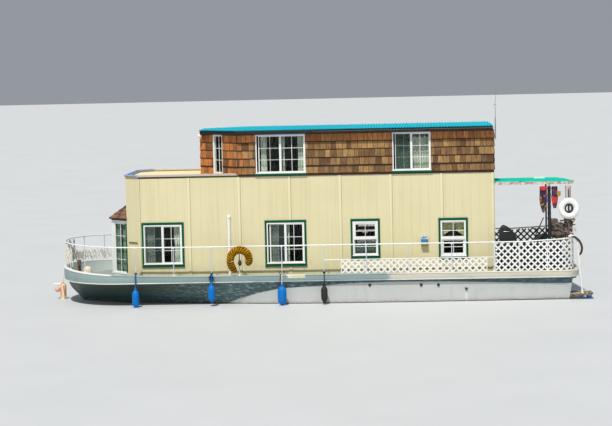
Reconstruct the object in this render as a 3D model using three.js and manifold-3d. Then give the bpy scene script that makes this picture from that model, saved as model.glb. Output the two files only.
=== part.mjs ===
// A two-storey houseboat: a flared round-bow hull, a lower cabin of battened panels, a shingled
// upper cabin under a flat corrugated roof, guard rails with lattice, and a canopy over the stern.
// Millimetres, +Z up. The bow is at -X and the stern at +X, port is -Y. The origin is amidships
// on the centreline at the waterline.
import * as THREE from 'three';
import { mergeVertices } from 'three/addons/utils/BufferGeometryUtils.js';
import Module from 'manifold-3d';

const wasm = await Module();
wasm.setup();

// Driving dimensions
const GAP = 0.4;                 // clearance where a piece is cut by or rests on its neighbour
const SHAFT_GAP = 0.6;           // running clearance at the ends of a shaft
const EYE_GAP = 0.3;             // a rope or strap from what it is tied to

const BOW_X = -6255;             // foremost point of the deck
const BOW_START_X = -4700;       // where the round bow begins
const STERN_X = 6200;
const STERN_R = 350;             // plan radius of the stern corners
const TRANSOM = { x: 6007, rake: 0.155, z: [-500, 500] };     // x at the water, and its slope
const DECK_B = 1790;             // half breadth of the deck
const DECK_Z = 545;
const WELL_Z = 40;               // cabin floor, sunk into the hull
const HULL_T = 130;              // hull side left between the cabin floor and the water
const BAND_OUT = 60;             // how far the bulwark stands outside the hull
const BAND_T = 90;               // bulwark thickness
const BAND_Z = 712;              // bulwark top amidships
const BAND_BOW_RISE = 150;
const SKEG_Z = -740;
const SKEG_T = 90;

const WALL_Y = 1400;             // outer face of the side walls
const WALL_T = 60;
const CABIN_FRONT_X = -4600;
const CHAMFER = 368;             // corner facets of the lower cabin
const CABIN_AFT_X = 4290;
const WALL_TOP_Z = 3040;
const FLOOR_T = 60;              // upper floor, which is also the fore roof
const UPPER_FRONT_X = -2810;
const UPPER_CHAMFER = 981;
const ROOF_DECK_Z = 4055;
const ROOF_DECK_T = 82;
const EAVE = 200;                // roof overhang at the sides
const RIM = { w: 100, over: 30, lip: 18, well: 35 };      // edge of the fore roof
const BATTEN = { pitch: 1212.5, aftX: 4245, count: 8, w: 56, t: 12 };
const COURSE = { z0: 3045, pitch: 208, count: 5, butt: 20, top: 6 };   // shingle courses
const WAVE = { pitch: 70, rise: 24, t: 8 };                  // corrugated roof sheet
const TIP = 20;                  // the roof's point forward of the upper cabin's front

const RAIL_Z = 1405;             // top rail centre
const RAIL_BOW_RISE = 75;
const RAIL_STERN_RISE = 55;
const RAIL_R = 16;
const POST_R = 13;
const RAIL_OUT = 13;             // rail line outside the deck edge
const RAIL_Y = DECK_B + RAIL_OUT;
const RAIL_INSET = 80;           // along the transom the rail stands inside the bulwark
const SLAT = { t: 24, w: 40, pitch: 190 };     // lattice: pitch is a diamond's diagonal
const LOW_LATTICE = { x0: 610, x1: 4075, z: 1045 };

const CANOPY = {
  z: 2800, drop: 100, foreX: CABIN_AFT_X + GAP, aftX: 6150, cutX: 5800, y: 1600, beam: 55, t: 14,
  seat: 1,                       // the cloth's edge over the top of its beams
};
const CANOPY_POSTS = [{ x: 5567, half: 23 }, { x: 6025, half: 20 }];
const PLATFORM = { x1: 6575, y: [-1740, -1280], z: [120, 150] };     // a step at the port corner

const ANTENNA_Z = COURSE.z0 + 4 * COURSE.pitch + 2;

const PROP = { x: 5350, z: -520, r: 175, hub: 45, hubL: 110, blade: 14 };
const RUDDER = { x: 5600, z0: -730, z1: -345, fore: 90, aft: 300, t: 36, stock: 28 };
const DOOR = { y0: -300, y1: 420, z0: 560, z1: 2460, t: 45, gap: 6 };
const HINGE = { x: 8, y: 3, r: 8.2, half: 45, z: [700, 1500, 2300] };   // off the leaf's corner

const COLOURS = {
  hull: [0xcfd0cb, 0.6, 0], band: [0x9fb1b3, 0.6, 0], cream: [0xe4dcb4, 0.8, 0],
  shingle: [0xb86a33, 0.9, 0], roof: [0x10b4cc, 0.5, 0.2], fascia: [0x4a3526, 0.8, 0],
  green: [0x0b6343, 0.6, 0], white: [0xe9e9e4, 0.6, 0], curtain: [0x9fc4a4, 0.9, 0],
  canopy: [0x16bfa0, 0.8, 0], timber: [0x6f5238, 0.8, 0],
  steel: [0xb9bdbe, 0.4, 0.8], black: [0x1d1f21, 0.6, 0], blue: [0x1173d8, 0.5, 0],
  ring: [0xf0eee6, 0.6, 0], mustard: [0xb98a2e, 0.9, 0], bronze: [0xa9814a, 0.4, 0.9],
  cloth: [0x7c2630, 0.9, 0], buff: [0xd9b98c, 0.8, 0],
};

const part = new THREE.Group();

// Solids
function solidOf(geometry) {
  const g = geometry.clone();
  g.deleteAttribute('normal');
  g.deleteAttribute('uv');
  const m = mergeVertices(g, 1e-4);
  const solid = new wasm.Manifold(new wasm.Mesh({
    numProp: 3,
    vertProperties: new Float32Array(m.attributes.position.array),
    triVerts: new Uint32Array(m.index.array),
  }));
  return solid;
}

function geometryOf(solid) {
  const mesh = solid.getMesh();
  const g = new THREE.BufferGeometry();
  g.setAttribute('position', new THREE.BufferAttribute(new Float32Array(mesh.vertProperties), 3));
  g.setIndex(new THREE.BufferAttribute(new Uint32Array(mesh.triVerts), 1));
  g.computeVertexNormals();
  return g;
}

// A solid from rows of points and a list of triangles, turned to face outwards.
function shellOf(points, index) {
  const make = (order) => {
    const g = new THREE.BufferGeometry();
    g.setAttribute('position', new THREE.Float32BufferAttribute(points.flat(), 3));
    g.setIndex(order);
    return solidOf(g);
  };
  const solid = make(index);
  if (solid.volume() > 0) return solid;
  return make(index.map((_, i) => index[i % 3 === 1 ? i + 1 : i % 3 === 2 ? i - 1 : i]));
}

const join = (solids) => solids.reduce((a, b) => a.add(b));
const cut = (solid, tools) => tools.reduce((a, b) => a.subtract(b), solid);
const lift = (solid) => solid.translate([0, 0, GAP]);
const transomX = (z) => TRANSOM.x + TRANSOM.rake * z;

function node(name, solid, finish) {
  const [color, roughness, metalness] = COLOURS[finish];
  const material = new THREE.MeshStandardMaterial({ color, roughness, metalness });
  const mesh = new THREE.Mesh(geometryOf(solid), material);
  mesh.name = name;
  part.add(mesh);
}

function block([x0, x1], [y0, y1], [z0, z1]) {
  const g = new THREE.BoxGeometry(x1 - x0, y1 - y0, z1 - z0);
  g.translate((x0 + x1) / 2, (y0 + y1) / 2, (z0 + z1) / 2);
  return solidOf(g);
}

function extruded(points, depth) {
  const shape = new THREE.Shape(points.map(([x, y]) => new THREE.Vector2(x, y)));
  return new THREE.ExtrudeGeometry(shape, { depth, bevelEnabled: false });
}

// A flat outline in X and Y carried from z0 up to z1.
function prism(points, z0, z1) {
  return solidOf(extruded(points, z1 - z0).translate(0, 0, z0));
}

// A flat outline in X and Z carried from y0 to y1.
function prismY(points, y0, y1) {
  return solidOf(extruded(points, y1 - y0).rotateX(Math.PI / 2).translate(0, y1, 0));
}

// A flat outline in Y and Z carried from x0 to x1.
function prismX(points, x0, x1) {
  const g = extruded(points, x1 - x0).rotateX(Math.PI / 2).rotateZ(Math.PI / 2);
  return solidOf(g.translate(x0, 0, 0));
}

// A round bar from a to b.
function rod(a, b, r, sides = 8) {
  const from = new THREE.Vector3(...a);
  const along = new THREE.Vector3(...b).sub(from);
  const g = new THREE.CylinderGeometry(r, r, along.length(), sides);
  const up = new THREE.Vector3(0, 1, 0);
  const turn = new THREE.Quaternion().setFromUnitVectors(up, along.clone().normalize());
  g.applyQuaternion(turn);
  g.translate(...from.addScaledVector(along, 0.5).toArray());
  return solidOf(g);
}

function ball([x, y, z], r, [sx, sy, sz] = [1, 1, 1], sides = 8, rings = 4) {
  const g = new THREE.SphereGeometry(r, sides, rings);
  g.rotateX(Math.PI / 2);
  g.scale(sx, sy, sz);
  g.translate(x, y, z);
  return solidOf(g);
}

// A tube along a smooth curve through the points.
function tube(points, r, steps, sides = 8) {
  const ring = new THREE.Shape(Array.from({ length: sides }, (_, i) => {
    const a = (i / sides) * 2 * Math.PI;
    return new THREE.Vector2(r * Math.cos(a), r * Math.sin(a));
  }));
  const extrudePath = new THREE.CatmullRomCurve3(points.map((p) => new THREE.Vector3(...p)));
  return solidOf(new THREE.ExtrudeGeometry(ring, { steps, extrudePath, bevelEnabled: false }));
}

// Closed sections of equal point counts joined by flat faces, with a fan over each end.
function loft(sections) {
  const n = sections[0].length;
  const index = [];
  for (let s = 0; s + 1 < sections.length; s += 1) {
    for (let i = 0; i < n; i += 1) {
      const a = s * n + i;
      const b = s * n + ((i + 1) % n);
      index.push(a, b, b + n, a, b + n, a + n);
    }
  }
  const last = (sections.length - 1) * n;
  for (let i = 1; i + 1 < n; i += 1) {
    index.push(0, i + 1, i, last, last + i, last + i + 1);
  }
  return shellOf(sections.flat(), index);
}

function placed(solid, { x = 0, y = 0, z = 0, turn = 0 }) {
  return solid.rotate([0, 0, turn]).translate([x, y, z]);
}

const SIDES = [{ side: 'port', s: -1, turn: 0 }, { side: 'starboard', s: 1, turn: 180 }];
// The range between a and b, whichever is the lower.
const between = (a, b) => [Math.min(a, b), Math.max(a, b)];

// Curves that several pieces share
const BOW_L = BOW_START_X - BOW_X;

// Half breadth of the deck at x.
function deckHalf(x) {
  const t = Math.max(0, (BOW_START_X - x) / BOW_L);
  return DECK_B * Math.sqrt(Math.max(0, 1 - t * t));
}

// Rise from 0 abaft the house front to 1 at the stem.
function bowRise(x) {
  const t = Math.min(1, Math.max(0, (-2500 - x) / (-2500 - BOW_X)));
  return t * t;
}
const bandTop = (x) => BAND_Z + BAND_BOW_RISE * bowRise(x);
function railZ(x) {
  const aft = Math.min(1, Math.max(0, (x - 4900) / 1100));
  return RAIL_Z + RAIL_BOW_RISE * bowRise(x) + RAIL_STERN_RISE * aft;
}

// One half of the deck's edge in plan, offset outwards by d, from the transom to the stem.
function halfEdge(d, bowSteps = 16) {
  const half = [];
  for (let i = 0; i <= 4; i += 1) {
    const a = (i / 4) * (Math.PI / 2);
    const [cx, cy] = [STERN_X - STERN_R, DECK_B - STERN_R];
    half.push([cx + (STERN_R + d) * Math.cos(a), cy + (STERN_R + d) * Math.sin(a)]);
  }
  half.push(...[1500, -2500, -3050, -3600, -4150].map((x) => [x, DECK_B + d]));
  for (let i = 0; i < bowSteps; i += 1) {
    const a = (i / bowSteps) * (Math.PI / 2);
    half.push([BOW_START_X - (BOW_L + d) * Math.sin(a), (DECK_B + d) * Math.cos(a)]);
  }
  return half;
}

// The whole edge, from the port stern corner round the bow.
function deckEdge(d) {
  const half = halfEdge(d);
  return [...half, [BOW_X - d, 0], ...half.slice().reverse().map(([x, y]) => [x, -y])];
}

// Outline of a cabin: square aft, with 45 degree facets forward, offset outwards by d.
function cabinOutline(frontX, aftX, halfY, chamfer, d = 0) {
  const k = d * Math.tan(Math.PI / 8);
  return [
    [aftX + d, -halfY - d], [aftX + d, halfY + d],
    [frontX + chamfer - k, halfY + d], [frontX - d, halfY - chamfer + k],
    [frontX - d, -halfY + chamfer - k], [frontX + chamfer - k, -halfY - d],
  ];
}
const lowerPlan = (d = 0, aftX = CABIN_AFT_X) => (
  cabinOutline(CABIN_FRONT_X, aftX, WALL_Y, CHAMFER, d));
const upperPlan = (d = 0, aftX = CABIN_AFT_X) => (
  cabinOutline(UPPER_FRONT_X, aftX, WALL_Y, UPPER_CHAMFER, d));

// Hull: half is the half breadth at the waterline.
const STATIONS = [
  { x: 6200, half: 1660, keel: -270 }, { x: 4800, half: 1710, keel: -285 },
  { x: 4200, half: 1725, keel: -420 }, { x: 2000, half: 1750, keel: -500 },
  { x: 0, half: 1740, keel: -520 }, { x: -1200, half: 1655, keel: -520 },
  { x: -2400, half: 1430, keel: -510 }, { x: -3600, half: 1180, keel: -480 },
  { x: -4700, half: 880, keel: -420 }, { x: -5350, half: 540, keel: -270 },
  { x: -5780, half: 270, keel: -70 }, { x: -6010, half: 150, keel: 130 },
  { x: -6170, half: 65, keel: 290 }, { x: -6245, half: 20, keel: 420 },
];

// Stations between the listed ones, along smooth curves through them.
function fairedStations(inset = 0) {
  const curve = new THREE.CatmullRomCurve3(
    STATIONS.map(({ x, half, keel }) => new THREE.Vector3(x, half, keel)), false, 'centripetal');
  return curve.getPoints(3 * (STATIONS.length - 1))
    .map((p) => ({ x: p.x, half: p.y - inset, keel: p.z })).filter(({ half }) => half > 0);
}

function hullSection({ x, half, keel }) {
  const z = Math.max(WELL_Z, keel + 60);
  const deck = deckHalf(x);
  const side = [
    [half * 0.1, keel], [half * 0.55, keel + (z - keel) * 0.18],
    [half * 0.86, keel + (z - keel) * 0.5], [half * 0.97, keel + (z - keel) * 0.8], [half, z],
    [half + (deck - half) * 0.42, z + (DECK_Z - z) * 0.5], [deck, DECK_Z],
  ];
  return [
    ...side.map(([y, h]) => [x, -y, h]),
    ...side.slice().reverse().map(([y, h]) => [x, y, h]),
  ];
}

function hull() {
  const body = loft(fairedStations().map(hullSection));
  const skegAft = PROP.x - 230;
  const skeg = prismY([
    [-4950, -280], [-3700, SKEG_Z], [skegAft, SKEG_Z], [skegAft, -250]], -SKEG_T / 2, SKEG_T / 2);
  const log = rod([4700, 0, PROP.z], [PROP.x - PROP.hubL / 2 - SHAFT_GAP, 0, PROP.z], 22);
  const boss = block([4700, skegAft], [-60, 60], [PROP.z - 60, PROP.z + 60]);
  const trunk = block([RUDDER.x - 60, RUDDER.x + 60], [-60, 60], [RUDDER.z1 + 8, -200]);
  const well = prism(lowerPlan(-WALL_T - 20), WELL_Z, 2000)
    .intersect(loft(fairedStations(HULL_T).map(hullSection)));
  const above = block([-7000, 7000], [-3000, 3000], [DECK_Z, 3000]);
  const [z0, z1] = TRANSOM.z;
  const abaft = prismY([[transomX(z0), z0], [7000, z0], [7000, z1], [transomX(z1), z1]], -3000, 3000);
  node('hull', cut(join([body, skeg, boss, log, trunk]), [well, above, abaft]), 'hull');
}

// The bulwark: a wall round the deck's edge, closed on itself.
function bulwark() {
  const inner = deckEdge(BAND_OUT - BAND_T);
  const z0 = DECK_Z + GAP;
  const points = deckEdge(BAND_OUT).flatMap(([x, y], i) => {
    const [u, v] = inner[i];
    return [[x, y, z0], [x, y, bandTop(x)], [u, v, bandTop(x)], [u, v, z0]];
  });
  const index = [];
  const rings = inner.length;
  for (let s = 0; s < rings; s += 1) {
    const t = (s + 1) % rings;
    for (let i = 0; i < 4; i += 1) {
      const j = (i + 1) % 4;
      index.push(s * 4 + i, t * 4 + j, s * 4 + j, s * 4 + i, t * 4 + i, t * 4 + j);
    }
  }
  return shellOf(points, index);
}
const bulwarkSolid = bulwark();
// Takes away what would stand inside the bulwark, so that a foot rests on its top.
const seated = (solid) => solid.subtract(lift(bulwarkSolid));

// Windows: x is the centre, z0 and z1 the sill and head of the white frame.
// A slider has two leaves side by side, a sash window one over the other.
const WINDOWS = [
  { name: 'lower_1', kind: 'slider', x: -3678, width: 922, z0: 969, z1: 1917 },
  { name: 'lower_2', kind: 'slider', x: -716, width: 900, z0: 942, z1: 1923 },
  { name: 'lower_3', kind: 'sash', x: 1196, width: 602, z0: 1097, z1: 1921 },
  { name: 'lower_4', kind: 'sash', x: 3295, width: 602, z0: 1045, z1: 1906 },
  { name: 'upper_2', kind: 'slider', x: -794, width: 1190, z0: 3112, z1: 4038 },
  { name: 'upper_3', kind: 'slider', x: 2335, width: 912, z0: 3120, z1: 4032 },
];
const AFT_WINDOW = { kind: 'slider', width: 900, z0: 3160, z1: 4030 };
const FACET_WINDOW = { kind: 'narrow', width: 300, z0: 3120, z1: 4030 };
const FRAME = { w: 52, fore: -16, aft: 48, glass: [20, 28], bar: [8, 36], muntin: 20 };
const TRIM = { side: 46, head: 58, sill: 72, t: 24 };
const PANES = { slider: [4, 3], sash: [2, 3], narrow: [2, 3] };   // columns and rows

// A glazed window in the plane Y = 0, centred at x = 0, facing -Y, its sill at z = 0.
function windowUnit({ kind, width, z0, z1 }, trim) {
  const w = width / 2;
  const h = z1 - z0;
  const ring = cut(block([-w, w], [FRAME.fore, FRAME.aft], [0, h]), [
    block([-w + FRAME.w, w - FRAME.w], [-50, 90], [FRAME.w, h - FRAME.w])]);
  const inW = [-w + 10, w - 10];
  const inH = [10, h - 10];
  const pieces = [ring, block(inW, FRAME.glass, inH)];
  const bar = (x, z, half, y) => pieces.push(x === null
    ? block(inW, y, [z - half, z + half]) : block([x - half, x + half], y, inH));
  const [columns, rows] = PANES[kind];
  for (let i = 1; i < columns; i += 1) bar(-w + (width * i) / columns, 0, FRAME.muntin / 2, [14, 34]);
  for (let i = 1; i < rows; i += 1) bar(null, (h * i) / rows, FRAME.muntin / 2, [14, 34]);
  if (kind === 'slider') bar(0, 0, 34, FRAME.bar);
  if (kind === 'sash') bar(null, h / 2, 28, FRAME.bar);
  if (trim) {
    const outer = block([-w - TRIM.side, w + TRIM.side], [-TRIM.t, -GAP], [-TRIM.sill, h + TRIM.head]);
    pieces.push(cut(outer, [block([-w + 2, w - 2], [-90, 50], [2, h - 2])]));
  }
  return join(pieces);
}

function windowHole({ x, width, z0, z1 }, s) {
  const w = width / 2 + GAP;
  return block([x - w, x + w], between(s * (WALL_Y - 90), s * (WALL_Y + 50)), [z0 - GAP, z1 + GAP]);
}

// Strips over the panel joints of a lower side wall, cut short at the windows.
function battens(s) {
  const y = between(s * (WALL_Y - 2), s * (WALL_Y + BATTEN.t));
  const strips = Array.from({ length: BATTEN.count }, (_, i) => {
    const x = BATTEN.aftX - i * BATTEN.pitch;
    const edge = Math.min(x + BATTEN.w / 2, CABIN_AFT_X);
    return block([x - BATTEN.w / 2, edge], y, [DECK_Z + GAP, WALL_TOP_Z]);
  });
  const wide = TRIM.side + GAP;
  const openings = WINDOWS.filter((w) => w.name.startsWith('lower')).map((w) => block(
    [w.x - w.width / 2 - wide, w.x + w.width / 2 + wide],
    between(s * (WALL_Y - 90), s * (WALL_Y + 50)),
    [w.z0 - TRIM.sill - GAP, w.z1 + TRIM.head + GAP]));
  return { strips, openings };
}

// Lapped courses on a flat wall along X, facing -Y, from x0 to x1.
function courses(x0, x1) {
  const profile = [[0, COURSE.z0]];
  for (let i = 0; i < COURSE.count; i += 1) {
    const z = COURSE.z0 + i * COURSE.pitch;
    const top = Math.min(z + COURSE.pitch, ROOF_DECK_Z - GAP);
    profile.push([-COURSE.butt, z], [-COURSE.top, top]);
  }
  profile.push([0, ROOF_DECK_Z - GAP]);
  const section = (x) => profile.map(([y, z]) => [x, y + 1, z]);
  return loft([section(x0), section(x1)]);
}

function sideWalls() {
  const lower = WINDOWS.filter((w) => w.name.startsWith('lower'));
  const upper = WINDOWS.filter((w) => w.name.startsWith('upper'));
  const upperZ = [WALL_TOP_Z + FLOOR_T + GAP, ROOF_DECK_Z - GAP];
  for (const { side, s, turn } of SIDES) {
    const y = between(s * WALL_Y, s * (WALL_Y - WALL_T));
    const mitre = 12;
    const { strips, openings } = battens(s);
    const pipe = s < 0
      ? [block([-2100, -2048], [-WALL_Y - 46, -WALL_Y + 2], [DECK_Z + GAP, 2110])] : [];
    const foreX = CABIN_FRONT_X + CHAMFER + mitre;
    const panel = block([foreX, CABIN_AFT_X], y, [DECK_Z + GAP, WALL_TOP_Z]);
    node(`lower_wall_${side}`, cut(join([cut(join([panel, ...strips]), openings), ...pipe]), [
      ...lower.map((w) => windowHole(w, s)),
      block([CABIN_FRONT_X, foreX], [-2000, 2000], [0, 4000])]), 'cream');

    const edge = UPPER_FRONT_X + UPPER_CHAMFER + mitre;
    const length = CABIN_AFT_X - edge;
    const lap = placed(courses(-length / 2, length / 2),
      { x: edge + length / 2, y: s * WALL_Y, turn });
    node(`upper_wall_${side}`, cut(join([block([edge, CABIN_AFT_X], y, upperZ), lap]),
      upper.map((w) => windowHole(w, s))), 'shingle');
    for (const w of WINDOWS) {
      node(`window_${w.name}_${side}`, placed(windowUnit(w, w.name.startsWith('lower')),
        { x: w.x, y: s * WALL_Y, z: w.z0, turn }), 'white');
    }
  }
}

// A front wall in three flats: what outer leaves round the space inside the plan, forward of edgeX.
function frontWall(outer, plan, edgeX) {
  const front = block([-9000, edgeX], [-3000, 3000], [0, 9000]);
  return outer.subtract(prism(plan(-WALL_T), 0, 9000)).intersect(front);
}

// The upper cabin's forward end as lapped courses, each a little wider at its foot.
function shingledFront() {
  const rings = [];
  for (let i = 0; i < COURSE.count; i += 1) {
    const z = Math.max(COURSE.z0 + i * COURSE.pitch, WALL_TOP_Z + FLOOR_T + GAP);
    const top = Math.min(COURSE.z0 + (i + 1) * COURSE.pitch, ROOF_DECK_Z - GAP);
    rings.push(upperPlan(COURSE.butt, 0).map(([x, y]) => [x, y, z]));
    rings.push(upperPlan(COURSE.top, 0).map(([x, y]) => [x, y, top]));
  }
  return loft(rings);
}

const BAY = { half: 1000, depth: 440, z0: 690, z1: 1935, eave: 2030, top: 2390, over: 60, t: 55 };

function bayOutline(d) {
  const { half, depth } = BAY;
  const k = d * Math.tan(Math.PI / 8);
  const wallX = CABIN_FRONT_X - GAP;
  return [
    [wallX, -half - d * Math.SQRT2], [wallX, half + d * Math.SQRT2],
    [CABIN_FRONT_X - depth - d, half - depth + k], [CABIN_FRONT_X - depth - d, -half + depth - k],
  ];
}

function bayWindow() {
  const z = [BAY.z0 + 60, BAY.z1 - 50];
  const base = prism(bayOutline(0), DECK_Z + GAP, BAY.z0);
  const head = prism(bayOutline(0), BAY.z1, BAY.eave);
  const shell = prism(bayOutline(0), BAY.z0 - 1, BAY.z1 + 1)
    .subtract(prism(bayOutline(-BAY.t), 0, 4000));
  const middle = { x: CABIN_FRONT_X - BAY.depth / 2, y: BAY.half - BAY.depth / 2 };
  const flanks = [-1, 1].map((s) => (
    { x: middle.x, y: s * middle.y, turn: s < 0 ? -45 : 45 }));
  const frontX = CABIN_FRONT_X - BAY.depth;
  const holes = [
    ...flanks.map((at) => placed(block([-235, 235], [-90, 90], z), at)),
    ...[-1, 1].map((s) => block([frontX - 60, frontX + 80], [s * 262 - 232, s * 262 + 232], z)),
  ];
  const bars = [];
  for (let i = 1; i < 4; i += 1) {
    const at = z[0] + ((z[1] - z[0]) * i) / 4;
    bars.push(prism(bayOutline(-12), at - 11, at + 11).subtract(prism(bayOutline(-40), 0, 4000)));
  }
  bars.push(...flanks.map((at) => placed(block([-11, 11], [-14, 14], z), at)));
  const glass = prism(bayOutline(-24), z[0] - 30, z[1] + 30)
    .subtract(prism(bayOutline(-32), 0, 4000));
  node('bay_window', join([cut(join([base, head, shell]), holes), glass, ...bars]), 'white');

  const ring = (d, h) => bayOutline(d).map(([x, y]) => [x, y, h]);
  const eave = BAY.eave + GAP;
  const inset = BAY.depth - 60;
  const mid = 0.5;
  node('bay_roof', loft([
    ring(BAY.over, eave), ring(BAY.over, eave + 26),
    ring(BAY.over - (BAY.over + inset) * mid - 14, eave + 26 + (BAY.top - eave - 26) * mid),
    ring(BAY.over - (BAY.over + inset) * mid + 8, eave + 40 + (BAY.top - eave - 26) * mid),
    ring(-inset, BAY.top)]), 'shingle');
}

function frontWalls() {
  const opening = block([CABIN_FRONT_X - 50, CABIN_FRONT_X + 100],
    [-BAY.half + 90, BAY.half - 90], [BAY.z0 + 20, BAY.z1]);
  const mitre = 11;
  const lower = prism(lowerPlan(0, 0), DECK_Z + GAP, WALL_TOP_Z);
  node('lower_wall_front', cut(frontWall(lower, (d) => lowerPlan(d, 100),
    CABIN_FRONT_X + CHAMFER + mitre), [opening]), 'cream');

  const mid = UPPER_CHAMFER / 2;
  const facets = SIDES.map(({ side, s }) => (
    { side, x: UPPER_FRONT_X + mid, y: s * (WALL_Y - mid), turn: s < 0 ? -45 : -135 }));
  const w = FACET_WINDOW;
  const hole = block([-w.width / 2 - GAP, w.width / 2 + GAP], [-80, 120], [w.z0 - GAP, w.z1 + GAP]);
  const upper = frontWall(shingledFront(), (d) => upperPlan(d, 100),
    UPPER_FRONT_X + UPPER_CHAMFER + mitre);
  node('upper_wall_front', cut(upper, facets.map((at) => placed(hole, at))), 'shingle');
  for (const at of facets) {
    node(`window_facet_${at.side}`, placed(windowUnit(w, false), { ...at, z: w.z0 }), 'white');
  }
}

function aftWalls() {
  const y = WALL_Y - WALL_T - GAP;
  const x = [CABIN_AFT_X - WALL_T, CABIN_AFT_X];
  const through = [x[0] - 50, x[1] + 50];
  const doorway = block(through, [DOOR.y0 - DOOR.gap, DOOR.y1 + DOOR.gap],
    [DOOR.z0 - DOOR.gap, DOOR.z1 + DOOR.gap]);
  node('lower_wall_aft', cut(block(x, [-y, y], [DECK_Z + GAP, WALL_TOP_Z]), [doorway]), 'cream');
  const w = AFT_WINDOW;
  const hole = block(through, [-w.width / 2 - GAP, w.width / 2 + GAP], [w.z0 - GAP, w.z1 + GAP]);
  const lap = placed(courses(-y, y), { x: CABIN_AFT_X, turn: 90 })
    .subtract(block([0, 9000], [-2000, 2000], [2900, WALL_TOP_Z + FLOOR_T + GAP]));
  node('upper_wall_aft', cut(join([
    block(x, [-y, y], [WALL_TOP_Z + FLOOR_T + GAP, ROOF_DECK_Z - GAP]), lap]), [hole]), 'shingle');
  node('window_upper_aft', placed(windowUnit(w, false), { x: CABIN_AFT_X, z: w.z0, turn: 90 }),
    'white');
}

function aftDoor() {
  const X = CABIN_AFT_X;
  const { y0, y1, z0, z1, t } = DOOR;
  const leaf = block([X - t, X], [y0, y1], [z0, z1]);
  const light = { y: [y0 + 130, y1 - 130], z: [z0 + 950, z1 - 150] };
  const pane = block([X - 90, X + 50], light.y, light.z);
  const glass = block([X - 30, X - 22], [y0 + 120, y1 - 120], [z0 + 940, z1 - 140]);
  const at = { y: y0 + 70, z: z0 + 900 };
  const knob = rod([X - 90, at.y, at.z], [X + 45, at.y, at.z], 22);
  const [hx, hy] = [X + HINGE.x, y1 + HINGE.y];
  const hinges = HINGE.z.flatMap((z) => [
    rod([hx, hy, z - HINGE.half], [hx, hy, z + HINGE.half], HINGE.r, 12),
    block([X - 2, X + 6], [y1 - 60, hy], [z - HINGE.half, z + HINGE.half]),
  ]);
  node('aft_door', join([cut(leaf, [pane]), glass, knob, ...hinges]), 'green');
}

// The upper floor, which forward is a roof with a raised rim.
function upperFloor() {
  const z0 = WALL_TOP_Z + GAP;
  const top = WALL_TOP_Z + FLOOR_T;
  const end = block([-9000, UPPER_FRONT_X + UPPER_CHAMFER - 10], [-2000, 2000], [0, 9000]);
  const cabin = prism(upperPlan(COURSE.butt + 4), 0, 9000);
  const lip = prism(lowerPlan(RIM.over), top - RIM.lip, top).intersect(end).subtract(cabin);
  const well = prism(lowerPlan(RIM.over - RIM.w), top - RIM.well, top + 10).intersect(end)
    .subtract(cabin);
  node('upper_floor', join([prism(lowerPlan(-1.5), z0, top), lip]).subtract(well), 'white');
}

// Corrugated sheet: a wave of half steps along X, as wide at each step as the plan allows.
function roof() {
  const deck = cabinOutline(UPPER_FRONT_X, CABIN_AFT_X - 20, WALL_Y + EAVE - 20, UPPER_CHAMFER);
  node('roof_deck', prism(deck, ROOF_DECK_Z, ROOF_DECK_Z + ROOF_DECK_T), 'fascia');
  const foreX = UPPER_FRONT_X - TIP;
  const half = WALL_Y + EAVE;
  const z = ROOF_DECK_Z + ROOF_DECK_T + GAP;
  const count = Math.round(((CABIN_AFT_X - foreX) / WAVE.pitch) * 2);
  const sections = Array.from({ length: count + 1 }, (_, i) => {
    const x = foreX + ((CABIN_AFT_X - foreX) * i) / count;
    const y = Math.min(half, half - UPPER_CHAMFER + (x - foreX));
    const h = z + (i % 2 ? WAVE.rise : 0);
    return [[x, -y, h], [x, y, h], [x, y, h + WAVE.t], [x, -y, h + WAVE.t]];
  });
  node('roof_sheet', loft(sections), 'roof');
}

// Guard rails
const POST_X = [-4303, -3388, -2480, -1812, -798, 205, 1217, 2215, 3242, 4231];
const BOW_POSTS = [2, 4, 7, 10, 12];      // of the bow rail's points, counted from starboard

function sideRails() {
  const { x0, x1, z } = LOW_LATTICE;
  const joinX = BOW_START_X + 100;
  for (const { side, s } of SIDES) {
    const y = s * RAIL_Y;
    const line = [joinX, ...POST_X].map((x) => [x, y, railZ(x)]);
    const bar = (a, b, half, zs) => block([a, b], [y - half, y + half], zs);
    const pieces = [
      tube(line, RAIL_R, line.length),
      ...POST_X.map((x) => rod([x, y, bandTop(x) - 20], [x, y, railZ(x)], POST_R)),
      bar(205, 4231, 14, [z - 18, z + 18]), bar(x0, x1, SLAT.t / 2, [BAND_Z - 20, z]),
    ];
    node(`rail_${side}`, seated(join(pieces)), 'white');
  }
}

function bowRail() {
  const joinX = BOW_START_X + 100;
  const n = 16;
  const line = Array.from({ length: n - 1 }, (_, i) => {
    const a = ((i + 1) / n) * Math.PI;
    const x = BOW_START_X - (BOW_L + RAIL_OUT) * Math.sin(a);
    return [x, RAIL_Y * Math.cos(a), railZ(x)];
  });
  const ends = [RAIL_Y, -RAIL_Y].map((y) => [joinX + 10, y, railZ(joinX)]);
  const posts = BOW_POSTS.map((i) => {
    const [x, y, z] = line[i];
    return rod([x, y, bandTop(x) - 20], [x, y, z], POST_R);
  });
  const abaft = block([joinX - GAP, 0], [-3000, 3000], [0, 3000]);
  node('rail_bow', seated(join([tube([ends[0], ...line, ends[1]], RAIL_R, 28), ...posts]))
    .subtract(abaft), 'white');
}

// The lattice's line in plan, from the last side post round the stern corner, by its length.
const STERN_PATH = (() => {
  const x0 = 4231 + POST_R + GAP;
  const cx = STERN_X - STERN_R - RAIL_INSET;
  const r = STERN_R + RAIL_OUT;
  const straight = cx - x0;
  const arc = (Math.PI / 2) * r;
  return { x0, cx, r, straight, arc, length: straight + arc + 190 };
})();

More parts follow.
